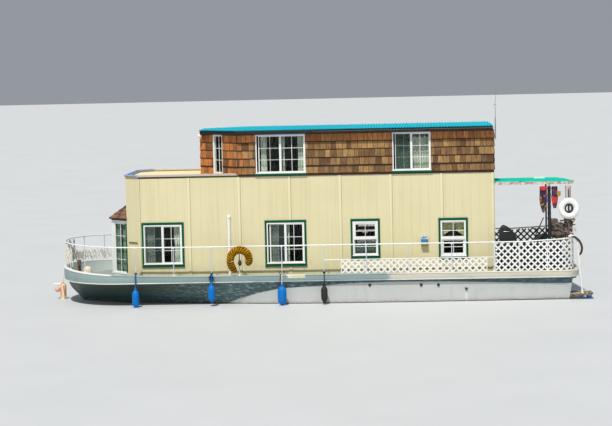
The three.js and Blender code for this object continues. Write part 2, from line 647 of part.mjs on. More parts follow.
// The point at length s and at offset d outwards, on the port side.
function sternPoint(s, d) {
  const { x0, cx, r, straight, arc } = STERN_PATH;
  const cy = -(DECK_B - STERN_R);
  if (s <= straight) return [x0 + s, -RAIL_Y - d];
  if (s >= straight + arc) return [cx + r + d, cy + (s - straight - arc)];
  const a = (s - straight) / r;
  return [cx + (r + d) * Math.sin(a), cy - (r + d) * Math.cos(a)];
}

// The turn of the lattice's line at length s, in degrees.
function sternTurn(s) {
  const { straight, r } = STERN_PATH;
  return Math.min(90, (Math.max(0, s - straight) / r) * (180 / Math.PI));
}

// A panel of diamonds that follows the line, with its top edge rising towards the stern.
function bentLattice() {
  const { x0, length, straight, arc } = STERN_PATH;
  const z0 = BAND_Z + GAP;
  const along = [0, ...Array.from({ length: 7 }, (_, i) => straight + (arc * i) / 6), length];
  const plan = [
    ...along.map((s) => sternPoint(s, SLAT.t / 2)),
    ...along.map((s) => sternPoint(s, -SLAT.t / 2)).reverse()];
  const above = prismY([[x0 - 10, RAIL_Z], [4900, RAIL_Z], [6000, RAIL_Z + RAIL_STERN_RISE],
    [6400, RAIL_Z + RAIL_STERN_RISE], [6400, 2000], [x0 - 10, 2000]], -3000, 3000);
  const half = SLAT.pitch / 2;
  const inner = half - SLAT.w * Math.SQRT1_2;
  const diamond = prismY([[inner, 0], [0, inner], [-inner, 0], [0, -inner]], -60, 60);
  const holes = [];
  for (let row = 0; row * half < 700; row += 1) {
    for (let col = 0; col * SLAT.pitch < length; col += 1) {
      const s = inner + 40 + col * SLAT.pitch + (row % 2) * half;
      const z = z0 + inner + 30 + row * half;
      const [x, y] = sternPoint(s, 0);
      const clear = s + inner < length - 30 && z + inner < railZ(x) - 30;
      if (clear) holes.push(placed(diamond, { x, y, z, turn: sternTurn(s) }));
    }
  }
  return cut(prism(plan, z0, 1500), [above, ...holes]);
}

function sternLattice() {
  const { length } = STERN_PATH;
  const line = [0, 0.4, 0.75, 0.85, 0.9, 0.95, 1].map((u) => {
    const s = u * length;
    return [...sternPoint(s, 0), railZ(sternPoint(s, 0)[0])];
  });
  const end = line[line.length - 1];
  const port = join([bentLattice(), tube(line, RAIL_R, 22),
    rod([end[0], end[1], DECK_Z + GAP], end, POST_R)])
    .subtract(block([0, STERN_PATH.x0], [-3000, 3000], [0, 3000]));
  node('stern_lattice_port', seated(port), 'white');
  node('stern_lattice_starboard', seated(port.mirror([0, 1, 0])), 'black');
}

// The canopy slopes down to starboard, and its aft starboard corner is cut back.
function canopy() {
  const { z, drop, foreX, aftX, cutX, y, beam } = CANOPY;
  const top = (v) => z - (drop * (v + y)) / (2 * y);
  const beams = [
    block([foreX, aftX], [-y - 20, -y + 20], [top(-y) - beam, top(-y)]),
    block([foreX, cutX], [y - 20, y + 20], [top(y) - beam, top(y)]),
  ];
  const cross = (x0, x1) => loft([[x0, -y], [x1, y]].map(([x, v]) => [
    [x - 20, v, top(v) - beam], [x + 20, v, top(v) - beam], [x + 20, v, top(v)], [x - 20, v, top(v)]]));
  beams.push(cross(foreX + 20, foreX + 20), cross(5000, 5000), cross(aftX - 20, cutX - 20));
  for (const { x, half } of CANOPY_POSTS) {
    beams.push(block([x - half, x + half], [-y - half, -y + half], [DECK_Z + GAP, top(-y) - 5]));
  }
  const far = cutX - 60;
  beams.push(block([far - 20, far + 20], [y - 60, y - 20], [DECK_Z + GAP, top(y) - 5]));
  beams.push(block([foreX, cutX], [y - 60, y], [top(y) - beam - 6, top(y) - beam + 12]));
  node('canopy_frame', join(beams), 'timber');

  const over = 20;
  const crown = 34;
  const n = 8;
  const low = Array.from({ length: n + 1 }, (_, i) => {
    const v = (y + over) * ((2 * i) / n - 1);
    return [v, top(v) + CANOPY.seat + crown * Math.sin((Math.PI * i) / n)];
  });
  const high = low.map(([v, h]) => [v, h + CANOPY.t]).reverse();
  const corner = prism([[aftX + over, -y - over], [aftX + 500, -y - over], [aftX + 500, y + 500],
    [cutX, y + 500], [cutX + over, y + over]], 2000, 3000);
  node('canopy', prismX([...low, ...high], foreX, aftX + over).subtract(corner), 'canopy');
}

// A point on the stern corner's top rail, where the handrail's upper end rests.
function sternRailPoint() {
  const [x, y] = sternPoint(STERN_PATH.straight + STERN_PATH.arc * 0.45, 0);
  return [x, y, railZ(x)];
}

function sternFittings() {
  const ring = { x: 6025, z: 2164, mid: 178, r: 68, t: 50 };
  const g = new THREE.TorusGeometry(ring.mid, ring.r, 12, 24);
  g.scale(1, 1, ring.t / ring.r);
  g.rotateX(Math.PI / 2);
  g.translate(ring.x, -CANOPY.y - CANOPY_POSTS[1].half - ring.t - GAP, ring.z);
  node('life_ring', solidOf(g), 'ring');

  const { x1, y, z } = PLATFORM;
  const [low, high] = TRANSOM.z;
  const hullSide = prismY([[5000, low], [transomX(low) + GAP, low], [transomX(high) + GAP, high],
    [5000, high]], -3000, 3000);
  const float = { x: [6300, 6490], y: [-1680, -1440] };
  node('swim_platform', join([
    block([TRANSOM.x - 50, x1], y, z),
    block([TRANSOM.x - 50, 6500], [-1540, -1480], [60, z[0] + 2]),
    block([float.x[0] - 35, float.x[0] + 35], float.y, [20, z[0] + 2]),
    block([float.x[1] - 50, float.x[1] + 50], float.y, [-10, z[0] + 2]),
  ]).subtract(hullSide), 'timber');

  const foot = [6322, -1640, z[1] + GAP];
  const top = sternRailPoint();
  const seat = ball([top[0], top[1], top[2]], RAIL_R + 1, [1, 1, 1], 12, 8);
  node('stern_handrail', tube([
    [top[0], top[1], top[2] + RAIL_R + 17], [top[0] + 70, top[1] + 10, top[2] + 58],
    [6180, -1690, 1445], [6215, -1675, 1300],
    [6270, -1660, 700], [6300, -1645, 400], foot], 18, 26)
    .subtract(seat).subtract(block([6200, 6400], [-1700, -1600], [100, foot[2]])), 'steel');

  // The grill's hood: an outline in X and Z, drawn in towards its middle at both ends.
  const hood = [[4380, 1390], [4770, 1390], [4785, 1490], [4715, 1640], [4570, 1765], [4430, 1780],
    [4372, 1690]];
  const mid = { x: 4570, z: 1580 };
  const section = ([v, k]) => hood.map(([x, h]) => [
    mid.x + (x - mid.x) * k, v, mid.z + (h - mid.z) * k]);
  node('grill', join([
    loft([[-1705, 0.85], [-1680, 1], [-1440, 1], [-1415, 0.85]].map(section)),
    rod([mid.x, -1560, DECK_Z + GAP], [mid.x, -1560, 1500], 24)]), 'black');
}

// A small motor stowed upright on a stand behind the stern rail.
function stowedMotor() {
  const x = 5810;
  const y = -1500;
  node('stowed_motor', join([
    ball([x, y, 1790], 150, [1.2, 0.75, 0.95], 12, 8),
    block([x - 110, x + 70], [y - 70, y + 70], [1560, 1720]),
    rod([x - 20, y, 800], [x - 20, y, 1600], 42),
    block([x - 90, x + 90], [y - 30, y + 30], [1330, 1400]),
    block([x - 100, x - 60], [y - 30, y + 30], [DECK_Z + GAP, 1400]),
    block([x + 50, x + 90], [y - 30, y + 30], [DECK_Z + GAP, 1400]),
  ]), 'black');
  const post = CANOPY_POSTS[0];
  const [px, py] = [post.x, -CANOPY.y - post.half - EYE_GAP];
  node('hung_cloth', loft([
    [1950, 30, 14], [2050, 95, 34], [2350, 165, 46], [2600, 150, 40], [2690, 90, 26],
  ].map(([z, w, t]) => [
    [px - w, py, z], [px + w * 0.8, py, z], [px + w * 0.5, py - t, z], [px - w * 0.6, py - t, z]])),
  'cloth');
}

// Fenders: top is the height of the body's top, r its radius.
const FENDERS = [
  { name: 'fender_1', x: -4303, top: 440, length: 470, r: 85, finish: 'blue' },
  { name: 'fender_2', x: -2480, top: 535, length: 450, r: 85, finish: 'blue' },
  { name: 'fender_3', x: -798, top: 480, length: 490, r: 105, finish: 'blue' },
  { name: 'fender_4', x: 205, top: 470, length: 440, r: 78, finish: 'black' },
];
const LANYARD_R = 7;

function fenderBody(r, length) {
  const profile = [[0, 0], [r * 0.62, 12], [r, r * 0.7], [r, length - r * 0.7],
    [r * 0.62, length - 12], [26, length], [26, length + 36], [0, length + 36]];
  const g = new THREE.LatheGeometry(profile.map(([x, y]) => new THREE.Vector2(x, y)), 12);
  return solidOf(g.rotateX(Math.PI / 2));
}

function fenders() {
  const side = DECK_B + BAND_OUT;
  for (const { name, x, top, length, r, finish } of FENDERS) {
    const y = -(side + r + 3);
    const edge = -side - LANYARD_R - 2;
    const over = bandTop(x) + LANYARD_R + 4;
    const foot = [x, -RAIL_Y - POST_R - LANYARD_R - EYE_GAP, over];
    node(name, seated(join([
      fenderBody(r, length).translate([x, y, top - length]),
      rod([x, y, top + 20], [x, edge, over - 12], LANYARD_R, 6),
      rod([x, edge, over - 12], foot, LANYARD_R, 6)])), finish);
  }
  const bow = { x: BOW_X - BAND_OUT - 80, top: 395, length: 490, r: 76 };
  const over = bandTop(BOW_X) + LANYARD_R + 4;
  const cap = [BOW_X - BAND_OUT - LANYARD_R - 2, 0, over - 12];
  node('fender_5', seated(join([
    fenderBody(bow.r, bow.length).translate([bow.x, 0, bow.top - bow.length]),
    rod([bow.x - 226, 0, 373], [bow.x, 0, 373], 26, 12),
    rod([bow.x - 146, 0, 280], [bow.x - 146, 0, 373], 12),
    ball([bow.x - 146, 0, 240], 70, [1, 1, 1], 12, 8),
    rod([bow.x, 0, bow.top + 20], cap, LANYARD_R, 6),
    rod(cap, [BOW_X - RAIL_OUT - POST_R - LANYARD_R - EYE_GAP, 0, over], LANYARD_R, 6)])), 'buff');
}

// Part of a ring with both ends closed.
function openRing(R, r, flat, sweep, steps = 20, sides = 12) {
  return loft(Array.from({ length: steps + 1 }, (_, i) => {
    const a = (i / steps) * sweep;
    return Array.from({ length: sides }, (_, k) => {
      const b = (k / sides) * 2 * Math.PI;
      const d = R + r * Math.cos(b);
      return [d * Math.cos(a), d * Math.sin(a), r * Math.sin(b) * flat];
    });
  }));
}

function fittings() {
  const buoy = { R: 215, r: 92, flat: 0.75, sweep: Math.PI * 1.62, z: 1110 };
  node('horseshoe_buoy', openRing(buoy.R, buoy.r, buoy.flat, buoy.sweep)
    .rotate([90, 0, 0]).rotate([0, 40, 0])
    .translate([-1792, -(RAIL_Y + POST_R + EYE_GAP + buoy.r * buoy.flat), buoy.z]), 'mustard');

  const boxTop = Array.from({ length: 9 }, (_, i) => {
    const a = (i / 8) * Math.PI;
    return [2606 + 81 * Math.cos(a), 1486 + 81 * Math.sin(a)];
  });
  node('wall_box', prismY([[2525, 1300], [2687, 1300], ...boxTop.slice(0, -1), [2525, 1486]],
    -WALL_Y - 110, -WALL_Y - GAP), 'blue');

  // The bracket stands on the thick foot of the top course.
  const mast = { x: CABIN_AFT_X + COURSE.butt + 26, y: -WALL_Y + 60 };
  node('antenna', join([
    block([CABIN_AFT_X + COURSE.butt - 1 + GAP, mast.x], [mast.y - 30, mast.y + 30],
      [ANTENNA_Z, ANTENNA_Z + 90]),
    rod([mast.x, mast.y, ANTENNA_Z - 60], [mast.x, mast.y, 4330], 13),
    rod([mast.x, mast.y, 4300], [mast.x + 30, mast.y, 5120], 8, 6)]), 'steel');

  node('bow_bitt', join([
    block([-6016, -5932], [-45, 45], [DECK_Z + GAP, 967]),
    block([-5990, -5958], [-150, 150], [820, 860])]), 'timber');
  const vent = [[0, 0], [112, 0], [112, 225], [92, 280], [55, 305], [0, 312]];
  const g = new THREE.LatheGeometry(vent.map(([x, y]) => new THREE.Vector2(x, y)), 16);
  node('deck_vent', solidOf(g.rotateX(Math.PI / 2)).translate([-5700, -400, DECK_Z + GAP]), 'buff');
}

function curtains() {
  for (const { side, s } of SIDES) {
    for (const level of ['lower', 'upper']) {
      const set = WINDOWS.filter((w) => w.name.startsWith(level));
      const y = s * (WALL_Y - WALL_T - 45);
      const z = level === 'lower' ? 1960 : 4035;
      const xs = set.map((w) => w.x);
      const ends = [Math.min(...xs) - 500, Math.max(...xs) + 480];
      const wall = s * (WALL_Y - WALL_T - GAP);
      const pieces = [rod([ends[0], y, z], [ends[1], y, z], 12),
        ...ends.map((x) => block([x - 10, x + 10], between(y, wall), [z - 9, z + 9]))];
      for (const w of set) {
        const half = w.width / 2;
        pieces.push(...[-1, 1].map((e) => block(
          between(w.x + e * (half + 20), w.x + e * half * 0.45), [y - 14, y + 14],
          [w.z0 - 8, z])));
      }
      node(`curtains_${level}_${side}`, join(pieces), 'curtain');
    }
  }
}

function underwater() {
  const { x, z, r, hub, hubL, blade } = PROP;
  const leaf = block([-blade / 2, blade / 2], [-62, 62], [30, r]).rotate([0, 0, 34]);
  node('propeller', join([
    rod([x - hubL / 2, 0, z], [x + hubL / 2, 0, z], hub, 12),
    ...[0, 120, 240].map((a) => leaf.rotate([a, 0, 0]).translate([x, 0, z]))]), 'bronze');
  const R = RUDDER;
  node('rudder', join([
    block([R.x - R.fore, R.x + R.aft], [-R.t / 2, R.t / 2], [R.z0, R.z1 - 6]),
    rod([R.x, 0, R.z0 + 20], [R.x, 0, R.z1 + 8 - SHAFT_GAP], R.stock, 10),
  ]), 'bronze');
}

hull();
node('bulwark', bulwarkSolid, 'band');
sideWalls();
frontWalls();
aftWalls();
aftDoor();
bayWindow();
upperFloor();
roof();
sideRails();
bowRail();
sternLattice();
canopy();
sternFittings();
stowedMotor();
fenders();
fittings();
curtains();
underwater();

export default part;
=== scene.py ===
"""Looks of a two-storey houseboat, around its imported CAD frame.

Metres, +Z up, the bow at -X, port at -Y and the waterline at Z = 0. Sizes and places repeat the
driving dimensions of the frame's own source. Shapes are surfaces worked out with numpy.
"""
import math

import bpy
import numpy as np
from mathutils import Matrix


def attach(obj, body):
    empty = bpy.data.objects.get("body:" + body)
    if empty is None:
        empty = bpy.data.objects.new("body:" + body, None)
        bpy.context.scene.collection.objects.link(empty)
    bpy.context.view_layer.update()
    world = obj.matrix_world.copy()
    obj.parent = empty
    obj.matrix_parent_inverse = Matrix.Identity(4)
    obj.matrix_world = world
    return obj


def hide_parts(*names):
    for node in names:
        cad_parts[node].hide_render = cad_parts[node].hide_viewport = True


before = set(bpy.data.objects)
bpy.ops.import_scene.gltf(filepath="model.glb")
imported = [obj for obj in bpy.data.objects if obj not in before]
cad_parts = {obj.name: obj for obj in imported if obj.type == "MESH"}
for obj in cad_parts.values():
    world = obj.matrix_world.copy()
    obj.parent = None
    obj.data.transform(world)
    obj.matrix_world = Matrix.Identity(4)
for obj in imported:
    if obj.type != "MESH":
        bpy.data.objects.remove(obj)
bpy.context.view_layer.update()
RNG = np.random.default_rng(7)

# Places and sizes shared by several pieces
BOW_X, BOW_START, STERN_X = -6.255, -4.7, 6.2
STERN_R, TRANSOM_X, TRANSOM_RAKE = 0.35, 6.007, 0.155
DECK_B, DECK_Z = 1.79, 0.545
BAND_OUT, BAND_T, BAND_Z, BAND_RISE = 0.06, 0.09, 0.712, 0.15
RAIL_Y, RAIL_Z, RAIL_RISE, STERN_RISE = 1.803, 1.405, 0.075, 0.055
RAIL_R, POST_R, RAIL_INSET, RAIL_END = 0.016, 0.0115, 0.08, 4.2444
WALL_Y, WALL_T, WALL_TOP = 1.4, 0.06, 3.04
FRONT_X, CHAMFER, AFT_X = -4.6, 0.368, 4.29
UPPER_FRONT, UPPER_CHAMFER, ROOF_Z = -2.81, 0.981, 4.055
BAY_HALF, BAY_DEPTH, BAY_Z0, BAY_Z1, BAY_EAVE = 1, 0.44, 0.69, 1.935, 2.03
WAVE_PITCH, WAVE_RISE, WAVE_T, WAVE_BASE = 0.07, 0.024, 0.006, ROOF_Z + 0.0825
BATTEN_X, BATTEN_PITCH, LATTICE_PITCH = 4.245, 1.2125, 0.155
GROOVE_PITCH = BATTEN_PITCH / 6
COURSES = 5
COURSE_Z = WALL_TOP + 0.0604                # foot of the first course of shingles
COURSE_H = (ROOF_Z - 0.002 - COURSE_Z) / COURSES
BAY_ROOF_Z, BAY_ROOF_TOP = 2.052, 2.372
RIM_Z = 3.1003                              # top of the fore roof's rim
DECK_TOP = DECK_Z + 0.001                   # where things stand on the deck
LIP_X = 6                                   # fore end of the deck's lip over the transom
SHAFT_Z = -0.52
ROD_Y = WALL_Y - WALL_T - 0.045             # line of the curtains' rods
LOW_TOP = 1.046                             # head of the low lattice
SLEEVE_PITCH = 0.142
CANOPY_Y, CANOPY_FORE, CANOPY_AFT, CANOPY_CUT = 1.6, 4.2904, 6.15, 5.8
CANOPY_Z, CANOPY_DROP, CANOPY_POST = 2.8, 0.1, 5.567
BUOY_AT, BUOY_RIBS, PUFF_CAP = (-1.792, -1.8853, 1.11), 26, 0.008

# The camera that took the photograph, fitted to the rails, eaves, walls and waterline
CAMERA_AT = (2.0413, -45.259, 5.5829)
CAMERA_YAW, CAMERA_PITCH, CAMERA_ROLL = -0.0514, -0.0781, 0.0226
CAMERA_FOCAL_PX, IMAGE_W = 1838.5, 612
SENSOR_MM = 36
SUN_TRAVEL = (0.095, 0.403, -0.655)      # the way the light travels, from the rail's shadow
SUN_STRENGTH, SKY_STRENGTH = 3.5, 0.35


def operation(name, swapped=False):
    """A method of Value that adds one Math node, with the value as its first or last term."""
    def method(self, *others):
        return self.math(name, *((*others, self) if swapped else (self, *others)))
    return method


class Value:
    """One output socket of a node tree; arithmetic on it adds Math nodes."""

    def __init__(self, tree, socket):
        self.tree, self.socket = tree, socket

    def math(self, kind, *terms):
        node = self.tree.nodes.new("ShaderNodeMath")
        node.operation = kind
        for slot, term in zip(node.inputs, terms):
            plug(self.tree, slot, term)
        return Value(self.tree, node.outputs[0])

    __add__, __radd__ = operation("ADD"), operation("ADD", swapped=True)
    __sub__, __rsub__ = operation("SUBTRACT"), operation("SUBTRACT", swapped=True)
    __mul__, __rmul__ = operation("MULTIPLY"), operation("MULTIPLY", swapped=True)
    __gt__, __lt__ = operation("GREATER_THAN"), operation("LESS_THAN")
    __truediv__, power = operation("DIVIDE"), operation("POWER")
    least, most = operation("MINIMUM"), operation("MAXIMUM")
    sine, absolute, modulo = operation("SINE"), operation("ABSOLUTE"), operation("FLOORED_MODULO")


def plug(tree, slot, term):
    """Link a socket or set a constant on an input."""
    if isinstance(term, Value):
        tree.links.new(term.socket, slot)
    elif isinstance(term, (tuple, list)) and slot.type == "RGBA":
        slot.default_value = (*term[:3], 1)
    else:
        slot.default_value = term


class Finish:
    """A material whose shader is written as expressions."""

    def __init__(self, name, **constants):
        self.material = bpy.data.materials.new(name)
        self.material.use_nodes = True
        self.tree = self.material.node_tree
        self.shader = self.tree.nodes["Principled BSDF"]
        self.set(**constants)
        self.place = self.node("ShaderNodeTexCoord", out="Object")
        split = self.node("ShaderNodeSeparateXYZ", Vector=self.place, out=None)
        self.x, self.y, self.z = (Value(self.tree, s) for s in split.outputs)

    def node(self, kind, settings=None, out=0, **inputs):
        """Any node: settings first, then the values or links of its sockets."""
        made = self.tree.nodes.new(kind)
        for key, value in (settings or {}).items():
            if key == "stops":
                ramp = made.color_ramp
                while len(ramp.elements) < len(value):
                    ramp.elements.new(1)
                for element, (at, colour) in zip(ramp.elements, value):
                    element.position, element.color = at, (*colour, 1)
            else:
                setattr(made, key, value)
        for key, value in inputs.items():
            plug(self.tree, made.inputs[key.replace("_", " ")], value)
        return made if out is None else Value(self.tree, made.outputs[out])

    def set(self, **sockets):
        """Set or link the shader's own sockets, such as Base_Color or Roughness."""
        for key, value in sockets.items():
            plug(self.tree, self.shader.inputs[key.replace("_", " ")], value)

    def stretched(self, *scale):
        return self.node("ShaderNodeMapping", Vector=self.place, Scale=scale)

    def noise(self, scale, detail=3, rough=0.55, place=None):
        return self.node("ShaderNodeTexNoise", Vector=place or self.place, Scale=scale,
                         Detail=detail, Roughness=rough)

    def cells(self, scale, place=None, out="Distance"):
        return self.node("ShaderNodeTexVoronoi", out=out, Vector=place or self.place, Scale=scale)

    def step(self, value, low, high, to_low=0, to_high=1):
        """A smooth step of value from low to high."""
        return self.node("ShaderNodeMapRange", {"interpolation_type": "SMOOTHSTEP", "clamp": True},
                         Value=value, From_Min=low, From_Max=high, To_Min=to_low, To_Max=to_high)

    def fade(self, value, low, high):
        """A smooth step of value from 1 down to 0."""
        return self.step(value, low, high, 1, 0)

    def mix(self, factor, a, b):
        """Colours a and b mixed by factor; a tuple holds the usual 0 to 255 numbers."""
        made = self.tree.nodes.new("ShaderNodeMix")
        made.data_type = "RGBA"
        plug(self.tree, made.inputs[0], factor)
        for slot, colour in ((made.inputs[6], a), (made.inputs[7], b)):
            plug(self.tree, slot, tint(*colour) if isinstance(colour, tuple) else colour)
        return Value(self.tree, made.outputs[2])

    def lay(self, factor, colour, base=None):
        """Lays a colour over the finish's own one, or over a base, by a factor."""
        self.colour = self.mix(factor, base or self.colour, colour)
        self.set(Base_Color=self.colour)

    def attribute(self, name, out="Fac"):
        return self.node("ShaderNodeAttribute", {"attribute_name": name}, out=out)

    def bump(self, height, distance, strength=1):
        self.set(Normal=self.node("ShaderNodeBump", Height=height, Distance=distance,
                                  Strength=strength))


def stand(name, data, right, up, ahead, at):
    """Puts a camera or a lamp at a place, looking ahead."""
    made = bpy.data.objects.new(name, data)
    turn = np.eye(4)
    turn[:3] = np.column_stack([right, up, -ahead, at])
    made.matrix_world = Matrix(turn.tolist())
    bpy.context.scene.collection.objects.link(made)
    return made


def aim_camera():
    """The camera's axes from yaw, pitch and roll: forward, then up, then both turned by the roll."""
    cy, sy = math.cos(CAMERA_YAW), math.sin(CAMERA_YAW)
    cp, sp = math.cos(CAMERA_PITCH), math.sin(CAMERA_PITCH)
    right = np.array([cy, -sy, 0])
    ahead = np.array([sy * cp, cy * cp, sp])
    up = np.cross(right, ahead)
    cr, sr = math.cos(CAMERA_ROLL), math.sin(CAMERA_ROLL)
    right, up = right * cr - up * sr, up * cr + right * sr
    data = bpy.data.cameras.new("camera")
    data.sensor_width = SENSOR_MM
    data.lens = SENSOR_MM * CAMERA_FOCAL_PX / IMAGE_W
    data.clip_end = 500
    bpy.context.scene.camera = stand("camera", data, right, up, ahead, CAMERA_AT)


def gridded(rows, columns, closed=False, wrap=False, caps=False):
    """Quads over points stored row by row, from a table of their numbers and its neighbours."""
    index = np.arange(rows * columns).reshape(rows, columns)
    ends = [index[0, ::-1].tolist(), index[-1].tolist()] if caps else []
    if closed:
        index = np.vstack([index, index[:1]])
    if wrap:
        index = np.hstack([index, index[:, :1]])
    quads = np.stack([index[:-1, :-1], index[:-1, 1:], index[1:, 1:], index[1:, :-1]], -1)
    return quads.reshape(-1, 4).tolist() + ends


def spread(*parts):
    """Points from x, y and z, which may be numbers or arrays that broadcast together."""
    return np.stack(np.broadcast_arrays(*parts), -1)


def around(count):
    """Angles that share out a full turn."""
    return np.linspace(0, 2 * np.pi, count, endpoint=False)


def ellipse(centre, a, b, angles):
    """Points about centre: a times the cosine of each angle plus b times its sine."""
    t = np.asarray(angles)[:, None]
    return np.asarray(centre) + np.cos(t) * a + np.sin(t) * b


def place(x=0, y=0, z=0, turn=0):
    """A move of local points: a turn about Z in degrees, then a shift."""
    c, s = math.cos(math.radians(turn)), math.sin(math.radians(turn))
    spin = np.array([[c, s, 0], [-s, c, 0], [0, 0, 1]])
    return lambda points: np.asarray(points, float) @ spin + np.array([x, y, z])


def place_on(at, x, y):
    """A further shift of local points before the move at."""
    return lambda points: at(np.asarray(points, float) + np.array([x, y, 0]))


def batches(count):
    """So many empty batches."""
    return [Batch() for _ in range(count)]


class Batch:
    """Points and faces gathered into one piece, with a tone for each part of it."""

    def __init__(self):
        self.points, self.faces, self.tones, self.count = [], [], [], 0

    def add(self, points, faces, tone=0.5, at=None):
        points = np.asarray(points, float).reshape(-1, 3)
        self.points.append(at(points) if at else points)
        self.faces.extend([tuple(i + self.count for i in face) for face in faces])
        self.tones.append(np.full(len(points), tone))
        self.count += len(points)

    def grid(self, rows, wrap=False, closed=False, caps=False, tone=0.5, at=None):
        """A surface over rows of points. wrap joins the two ends of each row, closed joins the
        last row to the first, and caps fill the first and the last row."""
        rows = np.asarray(rows, float)
        self.add(rows, gridded(*rows.shape[:2], closed, wrap, caps), tone, at)

    def prism(self, outline, span, axis="Z", at=None):
        """An outline of pairs carried straight along an axis from one end of span to the other."""
        a, b = np.asarray(outline, float).T
        ends = np.array(span, float)[:, None]
        rows = spread(a, b, ends) if axis == "Z" else spread(a, ends, b)
        self.grid(rows, wrap=True, caps=True, at=at)

    def box(self, x, y, z, at=None):
        """A box from three (low, high) ranges."""
        (x0, x1), (y0, y1) = x, y
        self.prism([(x0, y0), (x1, y0), (x1, y1), (x0, y1)], z, at=at)

    def ring(self, x, y, z, width, at=None):
        """A rectangular frame of that width, as four boxes."""
        (x0, x1), (z0, z1) = x, z
        for span in ((x0, x0 + width), (x1 - width, x1)):
            self.box(span, y, z, at)
        for span in ((z0, z0 + width), (z1 - width, z1)):
            self.box((x0 + width, x1 - width), y, span, at)

    def tube(self, points, radius, sides=10, closed=False, at=None):
        """A round tube whose rings follow the points, turned as little as possible between them."""
        path = np.asarray(points, float)
        if closed:
            along = np.roll(path, -1, 0) - np.roll(path, 1, 0)
        else:
            along = np.gradient(path, axis=0)
        along /= np.linalg.norm(along, axis=1)[:, None]
        side = np.cross(along[0], (0, 0, 1))
        if np.linalg.norm(side) < 0.1:
            side = np.cross(along[0], (0, 1, 0))
        rings, angles = [], around(sides)
        for centre, direction, r in zip(path, along, np.broadcast_to(radius, len(path))):
            side = side - direction * np.dot(side, direction)
            side /= np.linalg.norm(side)
            rings.append(ellipse(centre, r * side, r * np.cross(direction, side), angles))
        self.grid(rings, wrap=True, closed=closed, caps=not closed, at=at)

    def revolve(self, profile, centre, sides=24, axis="Z"):
        """A profile of (radius, height) pairs turned about an axis through centre."""
        profile = np.asarray(profile, float)
        r, h = profile[:, :1], profile[:, 1:]
        a, b = r * np.cos(around(sides)), r * np.sin(around(sides))
        order = {"Z": (a, b, h), "X": (h, a, b), "Y": (b, h, a)}[axis]
        self.grid(spread(*order) + np.asarray(centre), wrap=True, caps=True)

    def piece(self, name, finish, **options):
        return make(name, np.concatenate(self.points), self.faces, finish,
                    np.concatenate(self.tones), **options)


def make(name, points, faces, finish, tones, smooth=None, bevel=0, body="boat",
         slot="white_paint", replaces=()):
    """A piece at the origin with one material; smooth is the sharpest angle shaded smooth."""
    mesh = bpy.data.meshes.new(name)
    mesh.from_pydata(points.tolist(), [], faces)
    mesh.attributes.new("tone", "FLOAT", "POINT").data.foreach_set("value", tones)
    mesh.update()
    if smooth:
        mesh.shade_smooth()
        mesh.set_sharp_from_angle(angle=math.radians(smooth))
    obj = bpy.data.objects.new(name, mesh)
    bpy.context.scene.collection.objects.link(obj)
    mesh.materials.append(finish.material)
    if bevel:
        edge = obj.modifiers.new("bevel", "BEVEL")
        edge.width, edge.segments, edge.limit_method = bevel, 2, "ANGLE"
        edge.harden_normals = False
    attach(obj, body)
    if replaces:
        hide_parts(*replaces)
    return obj


# Curves that several pieces share, as in the frame's own source
BOW_LENGTH = BOW_START - BOW_X


def bow_rise(x):
    """0 abaft the house front, growing with the square of the distance to 1 at the stem."""
    return np.clip((-2.5 - x) / (-2.5 - BOW_X), 0, 1) ** 2


def band_top(x):
    """Top of the low band at x: level aft, lifted by the bow's rise."""
    return BAND_Z + BAND_RISE * bow_rise(x)


def rail_top(x):
    """Top of the rail at x: level amidships, lifted by the bow's rise and at the stern."""
    return RAIL_Z + RAIL_RISE * bow_rise(x) + STERN_RISE * np.clip((x - 4.9) / 1.1, 0, 1)


def deck_half(x):
    """Half breadth of the deck: straight sides, then a half ellipse round the bow."""
    t = np.clip((BOW_START - x) / BOW_LENGTH, 0, 1)
    return DECK_B * np.sqrt(1 - t * t)


def deck_edge(d=0):
    """Plan of the whole deck edge moved out by d, as (x, y) from the middle of the transom round
    by starboard, the bow and port: quarter circles at the stern and a half ellipse at the bow."""
    a, b = np.linspace(0, np.pi / 2, 14), np.linspace(0, np.pi / 2, 72)[1:]
    cx, cy, r = STERN_X - STERN_R, DECK_B - STERN_R, STERN_R + d
    x = np.concatenate([np.full(7, STERN_X + d), cx + r * np.cos(a),
                        np.linspace(cx, BOW_START, 40)[1:], BOW_START - (BOW_LENGTH + d) * np.sin(b)])
    y = np.concatenate([np.linspace(0, cy, 8)[:-1], cy + r * np.sin(a),
                        np.full(39, DECK_B + d), (DECK_B + d) * np.cos(b)])
    half = spread(x, y)
    return np.concatenate([half, half[-2:0:-1] * (1, -1)])


def cabin_outline(front, aft, half, chamfer, d=0):
    """Square aft with 45 degree facets forward, moved out by d; starts at the port aft corner."""
    k = d * math.tan(math.pi / 8)
    return np.array([
        (aft + d, -half - d), (aft + d, half + d), (front + chamfer - k, half + d),
        (front - d, half - chamfer + k), (front - d, -half + chamfer - k),
        (front + chamfer - k, -half - d)])


def tint(r, g, b, share=1):
    """A linear colour from the usual 0 to 255 numbers, darkened to a share of itself."""
    return tuple(share * (c / 3294.6 if c < 10 else ((c / 255 + 0.055) / 1.055) ** 2.4)
                 for c in (r, g, b))


# The lower edge of the painted shadow that the band casts on the hull's side, as x and height
SHADE_LINE = ((-2.2, -0.01), (-1.82, 0.147), (-1.34, 0.279), (-0.9, 0.373), (0.12, 0.437),
              (0.81, 0.483), (1.93, 0.501), (3.19, 0.484), (5.43, 0.406), (6.02, 0.396))


